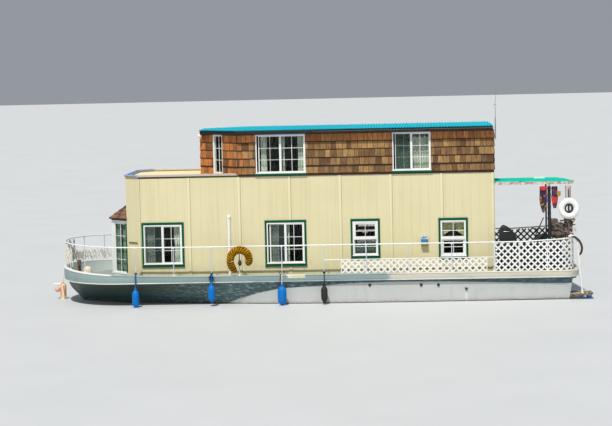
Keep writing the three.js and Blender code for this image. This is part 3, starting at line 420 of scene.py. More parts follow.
def paint(name, colour, rough=0.5, dirt=(90, 88, 78), amount=0.35, scale=2.5, bump=0.0006):
    """Old paint: patches of dirt where two noises agree, and brush marks in the bump."""
    f = Finish(name)
    broad, fine = f.noise(scale, 4), f.noise(scale * 14, 3)
    patch = f.step(broad * 0.7 + fine * 0.3, 0.48, 0.72) * amount
    f.lay(fine * 0.25, (*colour, 0.8), colour)
    f.lay(patch, dirt)
    f.set(Roughness=f.step(fine, 0.2, 0.8, rough - 0.08, rough + 0.1))
    f.bump(f.noise(scale * 30, 2), bump, 0.6)
    return f


def siding(name, along):
    """Cream boards: faint grooves at each sixth of a panel, a little dirt near the deck and painted
    shade on the faces indoors. On the long sides pale battens have an olive line of painted shadow
    down their aft edge."""
    f = Finish(name)
    place_along = f.x if along == "x" else f.y
    from_groove = ((place_along + 40.02).modulo(GROOVE_PITCH) - GROOVE_PITCH / 2).absolute()
    groove = f.fade(from_groove, 0, 0.004)
    streaks = f.noise(9, 3, place=f.stretched(1, 1, 0.06))
    cloud = f.noise(0.8, 3)
    low = f.fade(f.z, 0.55, 1.15)
    f.lay(f.step(cloud, 0.3, 0.7) * 0.5, (213, 204, 160), (223, 214, 175))
    f.lay(f.step(streaks, 0.5, 0.75) * 0.14, (176, 164, 118))
    f.lay(low * f.step(f.noise(5, 4), 0.42, 0.68) * 0.3, (140, 138, 96))
    f.lay(groove * 0.16, (150, 138, 98))
    if along == "x":
        beside = (f.x - BATTEN_X + BATTEN_PITCH * 20.5).modulo(BATTEN_PITCH) - BATTEN_PITCH / 2
        strip = f.fade(beside.absolute(), 0.027, 0.031)
        f.lay(strip * f.step(f.z, 0.6, 3.2, 0.2, 0.6), (236, 230, 198))
        # painted shadow: an olive line down the batten's aft edge, and a fainter dark line down its
        # fore edge
        aft_shadow_line = f.fade((beside - 0.037).absolute(), 0.006, 0.011)
        fore_line = f.fade((beside + 0.035).absolute(), 0.004, 0.008)
        f.lay(aft_shadow_line * 0.55 + fore_line * 0.2, (150, 138, 76))
        indoor_shade = f.y.absolute() < WALL_Y - 0.02
    else:
        facet = f.y.absolute() - f.x < WALL_Y - FRONT_X - CHAMFER - 0.04
        indoor_shade = facet * (f.x > FRONT_X + 0.03) * (f.x < AFT_X - 0.02)
    # painted shade: the faces indoors are painted dim, for the dark room
    f.lay(indoor_shade, (92, 82, 62))
    f.set(Roughness=f.step(cloud, 0.3, 0.7, 0.62, 0.78))
    f.bump(groove * -1 + f.noise(140, 2, place=f.stretched(1, 1, 0.1)) * 0.08, 0.002)
    return f


def cedar(name, light, dark, grey, warm=None):
    """Split cedar: a tone for each shingle and grain from a noise stretched upwards. Given a warm
    colour, it is warmer forward, has painted sunlight on the top course where the eave's shadow
    falls, and is painted near black for the shadow under each course."""
    f = Finish(name)
    tone = f.attribute("tone")
    grain = f.noise(55, 4, 0.65, place=f.stretched(1, 1, 0.07))
    blot = f.noise(6, 4)
    f.lay(f.step(tone, 0.15, 0.85), light, dark)
    if warm:
        fore = f.fade(f.x + (blot - 0.5) * 1.6, -2.3, -1.2)
        f.lay(fore * f.step(tone, 0.1, 0.6) * 0.85, warm)
        # painted sunlight: the top course under the eave is brighter and warmer than its shade
        painted_sun_top = f.step(f.z + (blot - 0.5) * 0.03, 3.845, 3.865)
        f.lay(painted_sun_top * 0.65, f.mix(tone, (176, 104, 54), (250, 160, 92)))
    f.lay(f.step(grain, 0.42, 0.7) * 0.62, (*dark, 0.4))
    f.lay(f.step(blot, 0.5, 0.72) * 0.35, grey)
    if warm:
        course = ((f.z - COURSE_Z) / COURSE_H).modulo(1)
        f.lay(f.step(course, 0.885, 0.9) * 0.97, (12, 8, 6))
    f.set(Roughness=f.step(grain, 0.3, 0.7, 0.72, 0.92))
    f.bump(grain, 0.004, 0.9)
    return f


def hull_paint():
    """White plating with painted shade: dark teal above a curve that climbs from the waterline as it
    runs aft stands for the band's shadow on the hull, darker near the band at the bow, smooth
    there and flecked with painted reflections of the water towards the curve; a dark and a rusty
    line at the waterline."""
    f = Finish("hull_paint")
    broad, fine = f.noise(1.3, 5), f.noise(11, 5, 0.65)
    streaks = f.noise(7, 4, place=f.stretched(1, 1, 0.1))
    white = f.mix(f.step(broad, 0.35, 0.7) * 0.5, (197, 200, 199), (181, 186, 184))
    white = f.mix(f.step(streaks, 0.55, 0.75) * 0.2, white, (150, 156, 150))
    below = (f.x - 3.574).absolute() + (fine - 0.5) * 0.04
    white = f.mix(f.fade(below, 0.02, 0.05) * f.fade(f.z, 0.26, 0.29) * 0.6,
                  white, (228, 226, 214))
    x0, x1 = SHADE_LINE[0][0], SHADE_LINE[-1][0]
    stops = [((x - x0) / (x1 - x0), (z + 0.1,) * 3) for x, z in SHADE_LINE]
    curve = f.node("ShaderNodeValToRGB", {"stops": stops}, Fac=(f.x - x0) / (x1 - x0))
    # painted shadow of the band: above the curve, and everywhere forward of its bow end
    above = f.step(f.z - curve + (fine - 0.5) * 0.03, -0.108, -0.092)
    above = above.most(f.fade(f.x, -2.26, -2.16))
    # the painted shadow's teal, greener forward and bluer in the strip under the band aft
    teal = f.mix(f.step(fine, 0.4, 0.6), (46, 80, 82), (66, 102, 102))
    aft_shade_teal = f.mix(f.step(fine, 0.42, 0.6), (24, 64, 80), (56, 98, 108))
    teal = f.mix(f.step(f.x, -1.6, 1.2), teal, aft_shade_teal)
    # painted shade: darker green near the band at the bow, under the flare
    teal = f.mix(f.fade(f.x, -3.4, -2.2) * f.step(f.z, 0.16, 0.46), teal, (38, 54, 38))
    # painted reflections of the water: pale flecks in the painted shadow, forward
    water_glint = f.noise(20, 4, 0.7, place=f.stretched(0.35, 1, 1.5))
    forward = f.step(f.x, -4.6, -2.6) * f.step(f.x, 0.2, 2.4, 1, 0.25)
    teal = f.mix(f.step(water_glint, 0.53, 0.62) * forward * 0.6, teal, (178, 196, 192))
    # lays the painted shadow over the white plating
    f.lay(above * 0.95, teal, white)
    low = f.fade(f.z + (fine - 0.5) * 0.03, 0.012, 0.034)
    rust = f.fade((f.z - 0.046).absolute(), 0.006, 0.014) * f.step(fine, 0.42, 0.58)
    f.lay(rust * 0.6, (168, 112, 66))
    f.lay(low * 0.85, (58, 52, 38))
    f.lay(f.fade(f.z, -0.03, 0), (96, 40, 34))
    f.set(Roughness=f.step(fine, 0.2, 0.8, 0.42, 0.66))
    f.bump(f.noise(3, 3) * 0.8 + fine * 0.2, 0.006, 0.7)
    return f


def band_paint(name, trim=False):
    """The bulwark: blue-grey forward, near white aft and light inside, with scuffs and one bare
    cream patch. As a trim it turns white on the cap at the bow and on the rub rail forward."""
    f = Finish(name)
    fine = f.noise(13, 5, 0.65)
    scuff = f.noise(5, 5, place=f.stretched(0.25, 1, 2))
    aft = f.step(f.x + (fine - 0.5) * 0.4, 1.65, 1.85)
    f.lay(aft, (208, 206, 192), (140, 161, 162))
    f.lay(f.step(scuff, 0.5, 0.72) * 0.35, (112, 128, 124))
    ragged = (fine - 0.5) * 0.3
    patch = f.fade((f.x + 0.46).absolute() + ragged, 0.19, 0.22)
    patch *= f.step(f.z + ragged * 0.3, 0.628, 0.642) * f.step(f.y, -1.8, -1.82)
    f.lay(patch, f.mix(f.step(scuff, 0.45, 0.6), (224, 214, 180), (236, 236, 230)))
    f.lay(f.step(fine, 0.66, 0.76) * 0.35, (122, 100, 76))
    reach = (BOW_START - f.x).most(0) / BOW_LENGTH
    aft_x = (f.x - (STERN_X - STERN_R)).most(0)
    aft_y = (f.y.absolute() - (DECK_B - STERN_R)).most(0)
    inboard = reach * reach + f.y * f.y / DECK_B ** 2 < 1
    inboard *= aft_x * aft_x + aft_y * aft_y < (STERN_R - 0.01) ** 2
    f.lay(inboard * 0.95, (222, 232, 230))
    if trim:
        on_cap = f.step(f.z, 0.6, 0.61)
        rub = f.step(f.x, -4.2, -3.2, 0.9, 0.45) * f.fade(f.x, -1.55, -1.45)
        white = on_cap * f.fade(f.x, -4.95, -4.85) + (1 - on_cap) * rub
        f.lay(white, (226, 228, 224))
    f.set(Roughness=f.step(fine, 0.2, 0.8, 0.4, 0.62))
    f.bump(f.noise(4, 3), 0.004, 0.5)
    return f


def cloth_finish(name, colour, shade, holes=None):
    """Woven cloth: crossed sine waves for the weave, soft stains, and round holes for lace."""
    f = Finish(name, Sheen_Weight=0.25, Sheen_Roughness=0.5)
    stains = f.noise(7, 4)
    threads = (f.x * 900).sine() * (f.z * 900).sine()
    f.lay(f.step(stains, 0.35, 0.7) * 0.6, shade, colour)
    f.set(Roughness=f.step(stains, 0.3, 0.7, 0.85, 0.95))
    f.bump(threads, 0.0006, 0.5)
    if holes:
        f.set(Alpha=f.step(f.cells(holes), 0.3, 0.38, 0.15, 1))
    return f


def lace_cloth():
    """Lace: dark dots along two scalloped rows, and dark points under its header as painted
    shadow of the window's head.
    """
    f = cloth_finish("lace", (240, 250, 232), (206, 228, 204), holes=150)
    wave = (f.x * 39).sine()
    rows = sum((f.fade((f.z - z + wave * 0.018).absolute(), 0.004, 0.01)
                for z in (3.6, 3.28)), 0)
    # painted shadow of the window's head: dark points under the header
    head = f.step(f.z + (f.x * 26).sine().absolute() * 0.05, 3.935, 3.96)
    dark = (rows * 0.6 + head * 0.85).least(1)
    f.lay(f.noise(7, 4), (206, 228, 204), (240, 250, 232))
    f.lay(dark, (52, 84, 64))
    return f


def motley():
    """Bunting in patches of red, navy, gold and near black: a Voronoi cell's value picks one."""
    f = cloth_finish("motley", (150, 30, 38), (96, 20, 30))
    pick = f.cells(33, place=f.stretched(1, 1, 0.8), out="Color") + 0
    f.colour = (20, 24, 26)
    for above, shade in ((0.37, (110, 24, 28)), (0.44, (28, 38, 100)), (0.52, (184, 132, 34)),
                         (0.57, (24, 28, 26)), (0.65, (180, 30, 38)), (0.72, (30, 40, 104))):
        f.lay(pick > above, shade)
    return f


def cover_cloth():
    """The buoy's cover: mustard, with brown stripes across it that a sine of the angle about its
    centre gives, darkest on the inside of the bend."""
    f = cloth_finish("cover", (190, 130, 36), (120, 80, 28))
    f.set(Sheen_Weight=0, Specular_IOR_Level=0.15)
    across, up = f.x - BUOY_AT[0], f.z - BUOY_AT[2]
    far = (across * across + up * up).power(0.5)
    angle = up.math("ARCTAN2", up, across) + far * 1.6
    stripe = f.step((angle * BUOY_RIBS + f.noise(9) * 3).sine(), -0.3, 0.5)
    inner = f.step(far, 0.19, 0.3, 1, 0.75)
    f.lay(f.step(f.noise(7, 4), 0.35, 0.7), (120, 84, 0), (190, 134, 0))
    f.lay(stripe * inner, (40, 28, 2))
    return f


def roof_paint():
    """Faded cyan sheet with dirt in its valleys and pale wear along its crests."""
    f = Finish("roof_paint", Specular_IOR_Level=0.12)
    fine, broad = f.noise(22, 4), f.noise(0.9, 4)
    crest = f.step(f.z, WAVE_BASE + 0.01, WAVE_BASE + WAVE_RISE)
    f.lay(f.step(broad, 0.35, 0.65) * 0.6, (0, 180, 200), (0, 196, 222))
    valley, worn = f.mix(0.45, f.colour, (0, 116, 138)), f.mix(0.2, f.colour, (16, 222, 240))
    f.lay(crest, worn, valley)
    f.lay(f.step(fine, 0.58, 0.78) * 0.3, (20, 104, 110))
    f.set(Roughness=f.step(fine, 0.2, 0.8, 0.5, 0.7))
    f.bump(fine, 0.001, 0.4)
    return f


def timber(name, colour, dark):
    """Weathered timber: long grain along X and Z from a noise squeezed across."""
    f = Finish(name)
    grain = f.noise(30, 4, 0.6, place=f.stretched(0.12, 1, 1))
    f.lay(f.step(grain, 0.38, 0.7), dark, colour)
    f.set(Roughness=f.step(grain, 0.3, 0.7, 0.65, 0.88))
    f.bump(grain, 0.002, 0.7)
    return f


def shiny(name, colour, metallic, low, high, scale=30):
    """Metal or moulding with smudges in its gloss."""
    f = Finish(name, Metallic=metallic)
    smudge = f.noise(scale, 4)
    f.lay(f.step(smudge, 0.45, 0.75) * 0.4, (*colour, 0.55), colour)
    f.set(Roughness=f.step(smudge, 0.3, 0.7, low, high))
    return f


def fore_roof():
    """The fore roof by place: a cream membrane in the well, olive painted shade on the rim's inner
    faces, a cap painted pale blue round the front as a sky reflection, a pinkish one beside, and a
    dark strip of painted shadow below it."""
    f = Finish("fore_roof")
    fine = f.noise(9, 4)
    # painted sky reflection: pale blue on the cap round the front
    f.lay(f.step(f.x, -4.3, -4.1), (212, 204, 196), (150, 170, 212))
    f.lay((f.y < -1.2) * (f.x > -4.2), (200, 184, 174))
    # painted shade: olive on the rim's inner faces
    shaded_lining = (f.z < 3.098) * (f.z > 3.067)
    outboard = f.y.absolute() > WALL_Y - 0.02
    f.lay(shaded_lining * (1 - outboard), (150, 130, 44))
    f.lay((f.z < 3.067) * (f.z > 3.05), (240, 232, 190))
    # painted shadow: a dark strip on the outer face below the cap, brown forward and olive aft
    strip = f.mix(f.step(f.x, -3.9, -2.6), (58, 40, 30), (78, 98, 36))
    f.lay(outboard * (f.z < 3.0815), strip)
    f.lay(f.z < 3.045, (120, 112, 92))
    f.lay(f.step(fine, 0.5, 0.75) * 0.25, (110, 104, 88))
    f.set(Roughness=f.step(fine, 0.3, 0.7, 0.6, 0.8))
    f.bump(fine, 0.001, 0.4)
    return f


def glazing():
    """Window glass: a thin pane, faintly dusty, that lets the dark room show."""
    f = Finish("glazing", IOR=1.5, Specular_IOR_Level=0.25)
    dust = f.noise(5, 4)
    f.lay(f.step(dust, 0.4, 0.7) * 0.4, (50, 62, 54), (14, 24, 20))
    f.set(Roughness=f.step(dust, 0.3, 0.7, 0.03, 0.1), Alpha=f.step(dust, 0.35, 0.7, 0.08, 0.18))
    return f


def blotched(f, scale, detail, edges, low, high, stretch=(1, 1, 1), rough=0.55):
    """Gives a finish two colours, in blotches where a noise passes the edges."""
    noise = f.noise(scale, detail, rough, place=f.stretched(*stretch))
    f.lay(f.step(noise, *edges), high, low)


def plain_floor():
    """Grey-white ground with faint wide stains."""
    f = Finish("plain_floor")
    f.lay(f.noise(0.2, 2), (209.4, 212.3, 215.2), (203.4, 206.4, 209.4))
    f.set(Roughness=f.step(f.noise(0.6, 2), 0.3, 0.7, 0.55, 0.65))
    return f


SIDING_SIDE, SIDING_END = siding("siding_side", "x"), siding("siding_end", "y")
CEDAR = cedar("cedar", (180, 140, 86), (98, 66, 38), (138, 118, 86), warm=(206, 118, 50))
BAY_CEDAR = cedar("bay_cedar", (146, 110, 82), (90, 60, 42), (124, 108, 88))
LAP = paint("lap", (52, 32, 22), 0.9, (30, 20, 16), 0.4)
HULL, BAND, ROOF = hull_paint(), band_paint("band_paint"), roof_paint()
BAND_TRIM, FORE_ROOF = band_paint("band_trim", trim=True), fore_roof()
WHITE = paint("white", (240, 241, 240), 0.45, (160, 160, 150), 0.25)
RAIL_WHITE = paint("rail_white", (238, 241, 242), 0.42, (150, 142, 124), 0.3, 6)
GREEN = paint("green", (0, 84, 54), 0.6, (10, 62, 44), 0.25)
GREEN.set(Specular_IOR_Level=0.2)
# painted shade: the eave's blue-tinted shadow on the white window heads
HEAD_SHADE_BLUE = paint("head_shade_blue", (74, 134, 196), 0.55, (90, 120, 150), 0.3)
# painted shade: the starboard stern slats, white like the port ones, painted dark as seen in shadow
SHADED_LATTICE = paint("dark", (46, 50, 46), 0.7, (80, 78, 66), 0.3)
DECK = paint("deck", (150, 158, 154), 0.8, (92, 92, 80), 0.5, 1.6, 0.0012)
SOLE = timber("sole", (128, 96, 62), (86, 60, 38))
# partly painted shade: dark timber, darkened further for the shade under the eave
FASCIA = timber("fascia", (36, 24, 18), (18, 12, 10))
BEAM = timber("beam", (120, 92, 76), (78, 56, 44))
CANOPY_BEAM = timber("canopy_beam", (128, 100, 82), (78, 56, 44))
blotched(CANOPY_BEAM, 14, 3, (0.4, 0.6), (222, 204, 196), (168, 140, 130))
CANOPY_BEAM.lay(CANOPY_BEAM.fade(CANOPY_BEAM.z, 2.6, 2.63), (104, 80, 64))
PLANK = timber("plank", (92, 80, 68), (58, 50, 42))
blotched(PLANK, 16, 4, (0.44, 0.58), (86, 72, 58), (186, 168, 142))
STEEL = shiny("steel", (186, 190, 192), 1, 0.22, 0.42)
BRONZE = shiny("bronze", (168, 128, 76), 1, 0.3, 0.5)
BLACK = shiny("black", (26, 27, 29), 0, 0.35, 0.6)
RUBBER = paint("rubber", (30, 32, 34), 0.7, (70, 70, 60), 0.3, 8)
FENDER = paint("fender", (0, 116, 200), 0.55, (0, 84, 148), 0.35, 9)
FENDER.set(Specular_IOR_Level=0.25)
ROPE = paint("rope", (222, 220, 210), 0.9, (150, 142, 120), 0.4, 20, 0.001)
BLUE_ROPE = paint("blue_rope", (36, 84, 140), 0.9, (24, 54, 84), 0.4, 20, 0.001)
TEAL_ROPE = paint("teal_rope", (20, 92, 98), 0.9, (14, 54, 60), 0.4, 20, 0.001)
BUFF = paint("buff", (232, 218, 200), 0.6, (206, 160, 120), 0.5, 6)
STREAKED = paint("streaked", (232, 214, 178), 0.6, (206, 150, 100), 0.5, 6)
blotched(STREAKED, 16, 3, (0.48, 0.62), (234, 218, 186), (196, 112, 44), (1, 1, 0.12))
# painted shade: the white posts painted bluish grey, as seen in shade
SHADED_POST_WHITE = paint("shaded_post_white", (202, 210, 224), 0.45, (130, 132, 136), 0.3, 6)
PINK = paint("pink", (222, 176, 158), 0.6, (176, 120, 100), 0.5, 6)
BOX_BLUE = paint("box_blue", (78, 134, 170), 0.5, (50, 90, 120), 0.3, 6)
# painted highlight: a pale mottled top on the dome
painted_highlight_head = BOX_BLUE.step(BOX_BLUE.z, 1.46, 1.5) * BOX_BLUE.step(BOX_BLUE.noise(30), 0.42, 0.55)
BOX_BLUE.lay(painted_highlight_head, (222, 230, 234), (60, 118, 160))
# painted shadow: olive at the foot of the box
BOX_BLUE.lay(BOX_BLUE.fade(BOX_BLUE.z, 1.35, 1.358), (128, 122, 44))
RING = paint("ring", (246, 246, 244), 0.6, (176, 172, 160), 0.55, 10)
CANOPY = cloth_finish("canopy", (0, 204, 176), (0, 172, 148))
CANOPY.set(Sheen_Weight=0, Specular_IOR_Level=0.1)
CURTAIN = cloth_finish("curtain", (228, 242, 224), (168, 202, 174))
LACE = lace_cloth()
VALANCE = cloth_finish("valance", (232, 234, 184), (178, 184, 128))
DIM_CLOTH = cloth_finish("dim_cloth", (138, 180, 152), (86, 128, 102))
# painted shade: dark cloth for the sheet behind the stern lattice
SHADE_CLOTH = cloth_finish("shade_cloth", (22, 30, 42), (12, 16, 24))
CAFE = cloth_finish("cafe", (120, 150, 142), (50, 72, 66))
SCREEN_MESH = paint("screen_mesh", (58, 76, 72), 0.9, (84, 98, 92), 0.3)
SCREEN_MESH.set(Alpha=SCREEN_MESH.step(SCREEN_MESH.noise(3), 0.3, 0.7, 0.24, 0.32))
COVER = cover_cloth()
FLAG_RED = cloth_finish("flag_red", (232, 44, 50), (176, 28, 38))
MOTLEY = motley()
FLAG_GOLD = cloth_finish("flag_gold", (196, 152, 52), (140, 104, 40))
GLASS = glazing()
LAMP = shiny("lamp", (236, 234, 220), 0, 0.15, 0.3)
INK = paint("ink", (30, 36, 46), 0.8, (58, 56, 54), 0.4, 8)
MACHINE = paint("machine", (56, 58, 58), 0.7, (128, 112, 88), 0.8, 12, 0.003)
blotched(MACHINE, 15, 5, (0.4, 0.62), (22, 24, 24), (112, 98, 84), (0.5, 1, 1.4), 0.7)
MAUVE = paint("mauve", (124, 104, 98), 0.7, (70, 58, 50), 0.5, 12)
GREYED = paint("greyed", (132, 128, 122), 0.7, (84, 78, 72), 0.5, 9)
HOOP_BROWN = paint("hoop_brown", (66, 44, 34), 0.7, (40, 28, 22), 0.4, 9)
OLIVE = paint("olive", (98, 84, 22), 0.7, (84, 76, 40), 0.4, 9)
YELLOW = paint("yellow", (216, 176, 40), 0.6, (170, 90, 40), 0.5, 16)


# Hull: the frame's stations, as x, half breadth at the waterline and keel height
STATIONS = np.array([
    (6.09, 1.664, -0.271), (4.8, 1.71, -0.285), (4.2, 1.725, -0.42), (2, 1.75, -0.5),
    (0, 1.74, -0.52), (-1.2, 1.655, -0.52), (-2.4, 1.43, -0.51),
    (-3.6, 1.18, -0.48), (-4.7, 0.88, -0.42), (-5.35, 0.54, -0.27),
    (-5.78, 0.27, -0.07), (-6.01, 0.15, 0.13), (-6.17, 0.065, 0.29), (-6.245, 0.02, 0.42)])
WELL_Z = 0.04


def through(points, count):
    """A smooth curve through the points: cubic pieces whose slopes are those of the chords on
    either side, with the parameter growing by the square root of each chord's length."""
    p = np.asarray(points, float)
    t = np.concatenate([[0], np.cumsum(np.sqrt(np.linalg.norm(np.diff(p, axis=0), axis=1)) + 1e-9)])
    slope = np.gradient(p, t, axis=0)
    u = np.linspace(0, t[-1], count)
    k = np.clip(np.searchsorted(t, u, side="right") - 1, 0, len(t) - 2)
    h = (t[k + 1] - t[k])[:, None]
    s = (u[:, None] - t[k][:, None]) / h
    return ((2 * s ** 3 - 3 * s ** 2 + 1) * p[k] + (s ** 3 - 2 * s ** 2 + s) * h * slope[k]
            + (3 * s ** 2 - 2 * s ** 3) * p[k + 1] + (s ** 3 - s ** 2) * h * slope[k + 1])


def hull_side(x, half, keel):
    """Half a section from the keel to the deck: a round bilge, then a flare to the deck's edge."""
    z = max(WELL_Z, keel + 0.06)
    deck = float(deck_half(x))
    points = [
        (half * 0.1, keel), (half * 0.55, keel + (z - keel) * 0.18),
        (half * 0.86, keel + (z - keel) * 0.5), (half * 0.97, keel + (z - keel) * 0.8),
        (half, z), (half + (deck - half) * 0.42, z + (DECK_Z - z) * 0.5), (deck, DECK_Z)]
    return through(points, 26)


def build_hull():
    """Plating through faired stations, the deck round the cabin, and the cabin's sunk sole."""
    skin = Batch()
    rows = []
    for x, half, keel in through(STATIONS, 110):
        y, z = hull_side(x, max(half, 0.004), keel).T
        rows.append(spread(x, np.concatenate([-y[::-1], y]), np.concatenate([z[::-1], z])))
    rows = np.array(rows)
    rows[..., 0] = np.minimum(rows[..., 0], TRANSOM_X + TRANSOM_RAKE * rows[..., 2])
    skin.grid(rows)
    skin.add(rows[0], [tuple(range(rows.shape[1]))])
    lip = deck_edge()
    lip = lip[lip[:, 0] > LIP_X]
    lip = lip[np.argsort(lip[:, 1])]
    skin.prism([*lip, (LIP_X, lip[-1, 1]), (LIP_X, lip[0, 1])], (0.5, DECK_Z))
    skin.prism([(-4.95, -0.28), (-3.7, -0.74), (5.12, -0.74), (5.12, -0.25)], (0.045, -0.045), "Y")
    skin.tube([(4.7, 0, SHAFT_Z), (5.294, 0, SHAFT_Z)], 0.022, 16)
    skin.box((4.7, 5.12), (-0.06, 0.06), (SHAFT_Z - 0.06, SHAFT_Z + 0.06))
    skin.box((5.54, 5.66), (-0.06, 0.06), (-0.337, -0.2))
    skin.piece("hull_plating", HULL, smooth=50, slot="hull_paint", replaces=["hull"])

    deck = Batch()
    xs = np.concatenate([BOW_START - BOW_LENGTH * np.sin(np.linspace(np.pi / 2, 0, 60))[:-1],
                         np.linspace(BOW_START, AFT_X, 40), np.linspace(AFT_X + 0.001, STERN_X, 24)])
    corner = np.clip(xs - (STERN_X - STERN_R), 0, STERN_R)
    outer = deck_half(xs) - STERN_R + np.sqrt(STERN_R ** 2 - corner ** 2)
    plan = cabin_outline(FRONT_X, AFT_X, WALL_Y, CHAMFER, -0.08)
    front, half = plan[3, 0], plan[1, 1]
    facet = np.clip(plan[3, 1] + (xs - front), 0, half)
    inner = np.where((xs > front) & (xs <= AFT_X), facet, 0)
    for s in (-1, 1):
        edges = [spread(xs, s * inner, DECK_Z), spread(xs, s * outer, DECK_Z)]
        deck.grid(np.stack(edges[::-s], 1))
    deck.piece("deck", DECK, slot="hull_paint")

    sole = Batch()
    x, y = plan.T
    sole.add([*spread(x, 0.62 * y, WELL_Z), *spread(x, 0.99 * y, DECK_Z)],
             [tuple(range(6))] + [(i, 6 + i, 6 + (i + 1) % 6, (i + 1) % 6) for i in range(6)])
    sole.piece("cabin_sole", SOLE, slot="hull_paint")


def swept_edge(batch, profile, base):
    """A closed profile of (outward, up) pairs carried round the deck's edge; base gives the height
    at each x."""
    heights = base(deck_edge()[:, 0])
    rows = np.stack([np.column_stack([deck_edge(d), heights + up]) for d, up in profile], 1)
    batch.grid(rows, wrap=True, closed=True)


def build_bulwark():
    """The band as a closed sweep, a rounded white cap on it, and a half-round rub rail below."""
    band, trim = batches(2)
    inner, outer = BAND_OUT - BAND_T, BAND_OUT
    height = band_top(deck_edge()[:, 0]) - DECK_Z - 0.004
    profile = ((inner, 0), (inner, 1), (outer - 0.012, 1), (outer, 0.93), (outer, 0.06),
               (outer - 0.006, 0))
    rows = [np.column_stack([deck_edge(d), DECK_Z + 0.0004 + height * share]) for d, share in profile]
    band.grid(np.stack(rows, 1), wrap=True, closed=True)
    band.piece("bulwark_strake", BAND, smooth=40, slot="band_paint", replaces=["bulwark"])

    cap = [(inner - 0.004, -0.014), (inner - 0.004, -0.002), (inner + 0.004, 0.004),
           (outer + 0.001, 0.004), (outer + 0.008, -0.004), (outer + 0.008, -0.022),
           (outer + 0.001, -0.026), (outer - 0.004, -0.014)]
    swept_edge(trim, cap, band_top)
    rub = [(outer - 0.01, 0), (outer + 0.004, 0), (outer + 0.012, 0.01),
           (outer + 0.004, 0.022), (outer - 0.01, 0.022)]
    swept_edge(trim, rub, lambda x: np.full_like(x, DECK_Z + 0.002))
    trim.piece("cap_and_rub_rail", BAND_TRIM, smooth=50, slot="band_paint")


# Windows: name, kind, centre, width, sill and head of the white frame
WINDOWS = [
    ("lower_1", "slider", -3.678, 0.922, 0.969, 1.917),
    ("lower_2", "slider", -0.716, 0.9, 0.942, 1.923),
    ("lower_3", "sash", 1.196, 0.602, 1.097, 1.921),
    ("lower_4", "sash", 3.295, 0.602, 1.045, 1.906),
    ("upper_2", "slider", -0.794, 1.19, 3.112, 4.038),
    ("upper_3", "slider", 2.335, 0.912, 3.12, 4.032)]
FACET_WINDOW = ("facet", "narrow", 0, 0.3, 3.12, 4.03)
AFT_WINDOW = ("aft", "slider", 0, 0.9, 3.16, 4.03)
SIDES = (("port", -1, 0), ("starboard", 1, 180))
CLOSED = ((0, 0.5, CURTAIN, 7, -0.006, 0), (0.5, 1, CURTAIN, 7, -0.006, 0))
SCREENED = ("lower_1", "lower_2", "upper_3")
# Curtain leaves of each window: from and to as shares of its width, finish, pleats, the foot's
# height above the sill, and how much the foot rises along the leaf
LEAVES = {
    "lower_1": ((0.05, 0.27, CURTAIN, 4, -0.006, 0), (0.78, 0.96, CURTAIN, 3, -0.006, 0)),
    "lower_2": ((0.09, 0.32, CURTAIN, 4, -0.006, 0), (0.53, 0.6, CURTAIN, 2, -0.006, 0)),
    "lower_3": ((0.08, 0.92, CAFE, 8, 0.02, 0),),
    "lower_4": ((0.03, 0.5, VALANCE, 6, 0.46, 0.2), (0.5, 0.97, VALANCE, 6, 0.66, -0.2)),
    "upper_2": ((0.09, 0.22, CURTAIN, 3, -0.006, 0), (0.53, 0.585, CURTAIN, 2, -0.006, 0),
                (0.84, 0.98, CURTAIN, 3, -0.006, 0)),
    "upper_3": ((0.06, 0.46, DIM_CLOTH, 6, 0.01, 0), (0.52, 0.97, LACE, 7, 0.01, 0))}
# Curtain rods: fore end, aft end, height, radius, sides, brackets' radius; the half curtain's last
RODS = ((-4.178, 3.775, 1.96, 0.01, 10, 0.007), (-1.294, 2.815, 4.035, 0.01, 10, 0.007),
        (0.916, 1.476, 1.44, 0.006, 8, 0.005))


def glazed(white, glass, at, x, z, columns, rows, stile=0.036, bar=0.014, y=0):
    """One leaf: a sash of four members, muntins between its panes, and the glass."""
    white.ring(x, (y - 0.014, y + 0.016), z, stile, at)
    (x0, x1), (z0, z1) = x, z
    for i in range(1, columns):
        c = x0 + stile + (x1 - x0 - 2 * stile) * i / columns
        white.box((c - bar / 2, c + bar / 2), (y - 0.009, y + 0.011), (z0 + stile, z1 - stile), at)
    for i in range(1, rows):
        c = z0 + stile + (z1 - z0 - 2 * stile) * i / rows
        white.box((x0 + stile, x1 - stile), (y - 0.008, y + 0.01), (c - bar / 2, c + bar / 2), at)
    glass.box((x0 + stile - 0.004, x1 - stile + 0.004), (y - 0.002, y + 0.002),
              (z0 + stile - 0.004, z1 - stile + 0.004), at)


